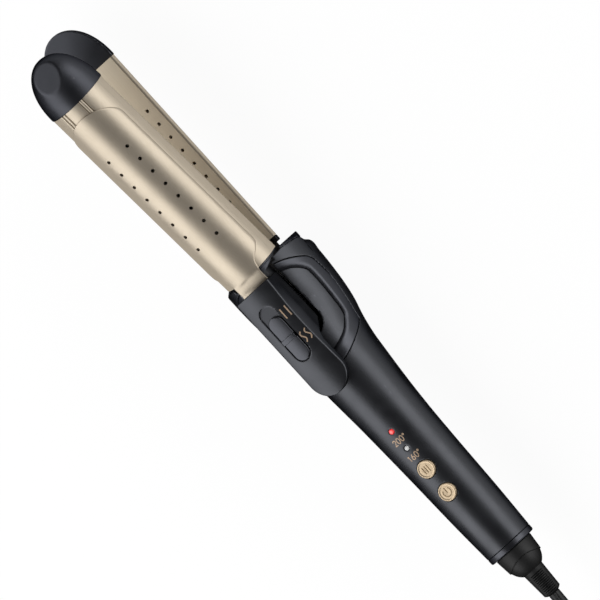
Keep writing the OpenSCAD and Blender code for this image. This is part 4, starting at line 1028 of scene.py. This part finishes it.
# the round section, its grooves 9.5 degrees either side of the top and the foot
quarter = [0, 6, 9.5, 13, 19, 30, 45, 60, 75, 90]
groove = {9.5: 0.34, 6: 0.06, 13: 0.06}
section = []
for a in sorted({a for b in quarter for a in (b, 180 - b, 180 + b, (360 - b) % 360)}):
    depth = groove.get(min(a % 180, 180 - a % 180), 0.0)
    section.append(around(CORD_R - 0.08 - depth, a))
heading = unit(np.gradient(line, axis=0))
beside = unit(np.cross(heading, (0.0, sin(SWIVEL_TURN), cos(SWIVEL_TURN))))
over = np.cross(beside, heading)
cord_points = [tuple(c + u * b + v * o) for c, b, o in zip(line, beside, over)
               for u, v in section]
cord_faces = [f[:1] + f[:0:-1] for f in tube_faces(len(line), len(section))]
cord_pvc = flaked_black("extruded_pvc_cord", "#333333", "#3C3C3C", 0.5, 0.008)
cord = piece("mains_cord", cord_points, cord_faces, cord_pvc, "handle", "cord_rubber",
             ["cord_lead", "cord_hank", "cord_tail"], ROW, 60)

# the ties: hook-and-loop tape, a loop round each long side with its end lapped
TIE_Y = 21


def tie_form(x, y, z):
    across_y = np.maximum(np.abs(y - TIE_Y) - 3.75, 0)
    across_z = np.maximum(np.abs(z - LAYERS[1]) - 6.75, 0)
    tape = np.abs(np.hypot(across_y, across_z) - 2.62) - 0.36
    end = both(slab(z, 18.9, 19.75), np.abs(y - 20.2) - 3.4)
    return both(joined(tape, end), slab(x, 294.1, 305.9), 0.3)


# Woven nylon, black and matt: its raised loops catch the light in small dots through their
# relief and gloss, and are also painted lighter, with painted shade in the hollows between them
def woven_tape(name, colour, deep):
    tape, where = patterned(name)
    # loops 1.4 mm apart, twice as coarse as real ones, so that they show
    warp, weft = (node(tape, "TexWave", where, bands_direction=way, _Scale=230.0,
                       _Distortion=1.5, _Detail=2.0) for way in "XZ")
    weave = node(tape, "Math", (0, warp, "Fac"), (1, weft, "Fac"), operation="MULTIPLY")
    return finished(tape, (weave, "Value"), (deep, colour), (weave, "Value"),
                    (0, 1, 0.95, 0.75), (weave, "Value"), (0.7, 0.2), _Sheen_Weight=0.15)


tie_tape = woven_tape("hook_and_loop_nylon_tape", "#3A3A3C", "#1C1C1E")
tie, tie_faces = skin(tie_form, (293, 307, 0.5), (13, 29, 0.3), (-0.6, 20.4, 0.3))
ties = piece("hank_tie_tapes", np.concatenate([tie, tie * [1, -1, 1]]),
             np.concatenate([tie_faces, tie_faces[:, ::-1] + len(tie)]),
             tie_tape, "handle", "tie_fabric", ["hank_ties"], ROW)

# the plug: PVC moulded over two flat brass blades, with its own ribbed relief
PLUG_X, PLUG_Z = 304, 25.4


def plug_form(x, y, z):
    out = PLUG_X - x
    rings = np.hypot(y - TIE_Y, z - PLUG_Z)
    sleeve_r = np.interp(out, [0, 20], [3.6, 5.2])
    sleeve = both(rings - sleeve_r, slab(out, 0.02, 22), 0.4)
    for i in range(6):
        sleeve = without(sleeve, both(slab(out, 2.2 + 2.8 * i, 3.3 + 2.8 * i),
                                      sleeve_r - 0.7 - rings), 0.25)
    wide = np.interp(out, [20, 28, 34, 50], [6.2, 8.2, 11, 11.4])
    high = np.interp(out, [20, 24, 49, 50], [5.2, 6.3, 6.3, 6.0])
    body = both(both(np.abs(y - TIE_Y) - wide, np.abs(z - PLUG_Z) - high, 3.2),
                slab(out, 20, 49.95), 1.2)
    for i in range(3):
        grip_x = 30 + 3.4 * i
        dent = both(slab(out, grip_x, grip_x + 1.6), 7.6 - np.abs(y - TIE_Y) / 1.35)
        body = without(body, dent, 0.5)
    return joined(sleeve, body)


plug = piece("moulded_plug", *skin(plug_form, (253.5, 304.5, 0.42), (9, 33, 0.42),
                                   (18.5, 32.4, 0.42)),
             pvc, "handle", "cord_rubber", ["plug_body"], ROW)


# --- The parts inside, and small metal parts -------------------------------
# Fasteners, springs, heaters, board, switches and fan keep their plain turned,
# cut or moulded shapes; each has the finish of its real material.


# Metal, ceramic or plastic as it comes from the tool or the mould: the grain that
# this leaves mottles its colour a little and breaks up its gloss
def stock(name, colour, deep, metallic, rough, grain, depth, stretch=1.0):
    """A material with grain of that many mm, drawn out along x by stretch."""
    made, where = patterned(name)
    drawn = node(made, "Mapping", where,
                 _Scale=(1000 / grain / stretch, 1000 / grain, 1000 / grain))
    noise = node(made, "TexNoise", ("Vector", drawn, "Vector"), _Scale=1.0, _Detail=3.0,
                 _Roughness=0.6)
    return finished(made, (noise, "Fac"), (deep, colour), (noise, "Fac"),
                    (0, 1, rough - 0.06, rough + 0.08), (noise, "Fac"), (0.4, depth),
                    _Metallic=metallic)


finishes = {
    stock("zinc_plated_steel", "#B4B6BA", "#94969B", 1.0, 0.35, 0.4, 0.01, 6): [
        "jaw_hinge_pin", "clamp_hinge_pin", "clamp_screws", "housing_screws", "fan_motor"],
    stock("drawn_spring_steel", "#8E9096", "#6F7177", 1.0, 0.3, 0.2, 0.01): [
        "jaw_spring", "clamp_spring"],
    stock("fired_alumina_ceramic", "#DEDACD", "#C9C4B5", 0.0, 0.6, 0.5, 0.02): [
        "rear_heater", "front_heater"],
    stock("glass_filled_nylon", "#232427", "#191A1C", 0.0, 0.55, 0.6, 0.03, 3): [
        "rear_carrier", "arm_root", "fan_shroud", "tact_switches"],
    stock("solder_masked_board", "#2F6B45", "#265839", 0.0, 0.35, 0.8, 0.01): [
        "control_board"],
    stock("moulded_acetal", "#CFCFC9", "#BDBDB6", 0.0, 0.4, 0.8, 0.01): ["mode_latch"],
    stock("moulded_pbt_fan", "#35363A", "#292A2D", 0.0, 0.45, 0.8, 0.01): ["fan_rotor"],
    stock("woven_steel_screen", "#2B2C30", "#16171A", 0.6, 0.5, 0.5, 0.04): ["intake_screen"],
    stock("rolled_brass", "#C9AE72", "#B59A5E", 1.0, 0.3, 0.3, 0.01, 8): ["plug_blades"],
}
for finish, nodes in finishes.items():
    for name in nodes:
        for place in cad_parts[name].material_slots:
            place.material = finish
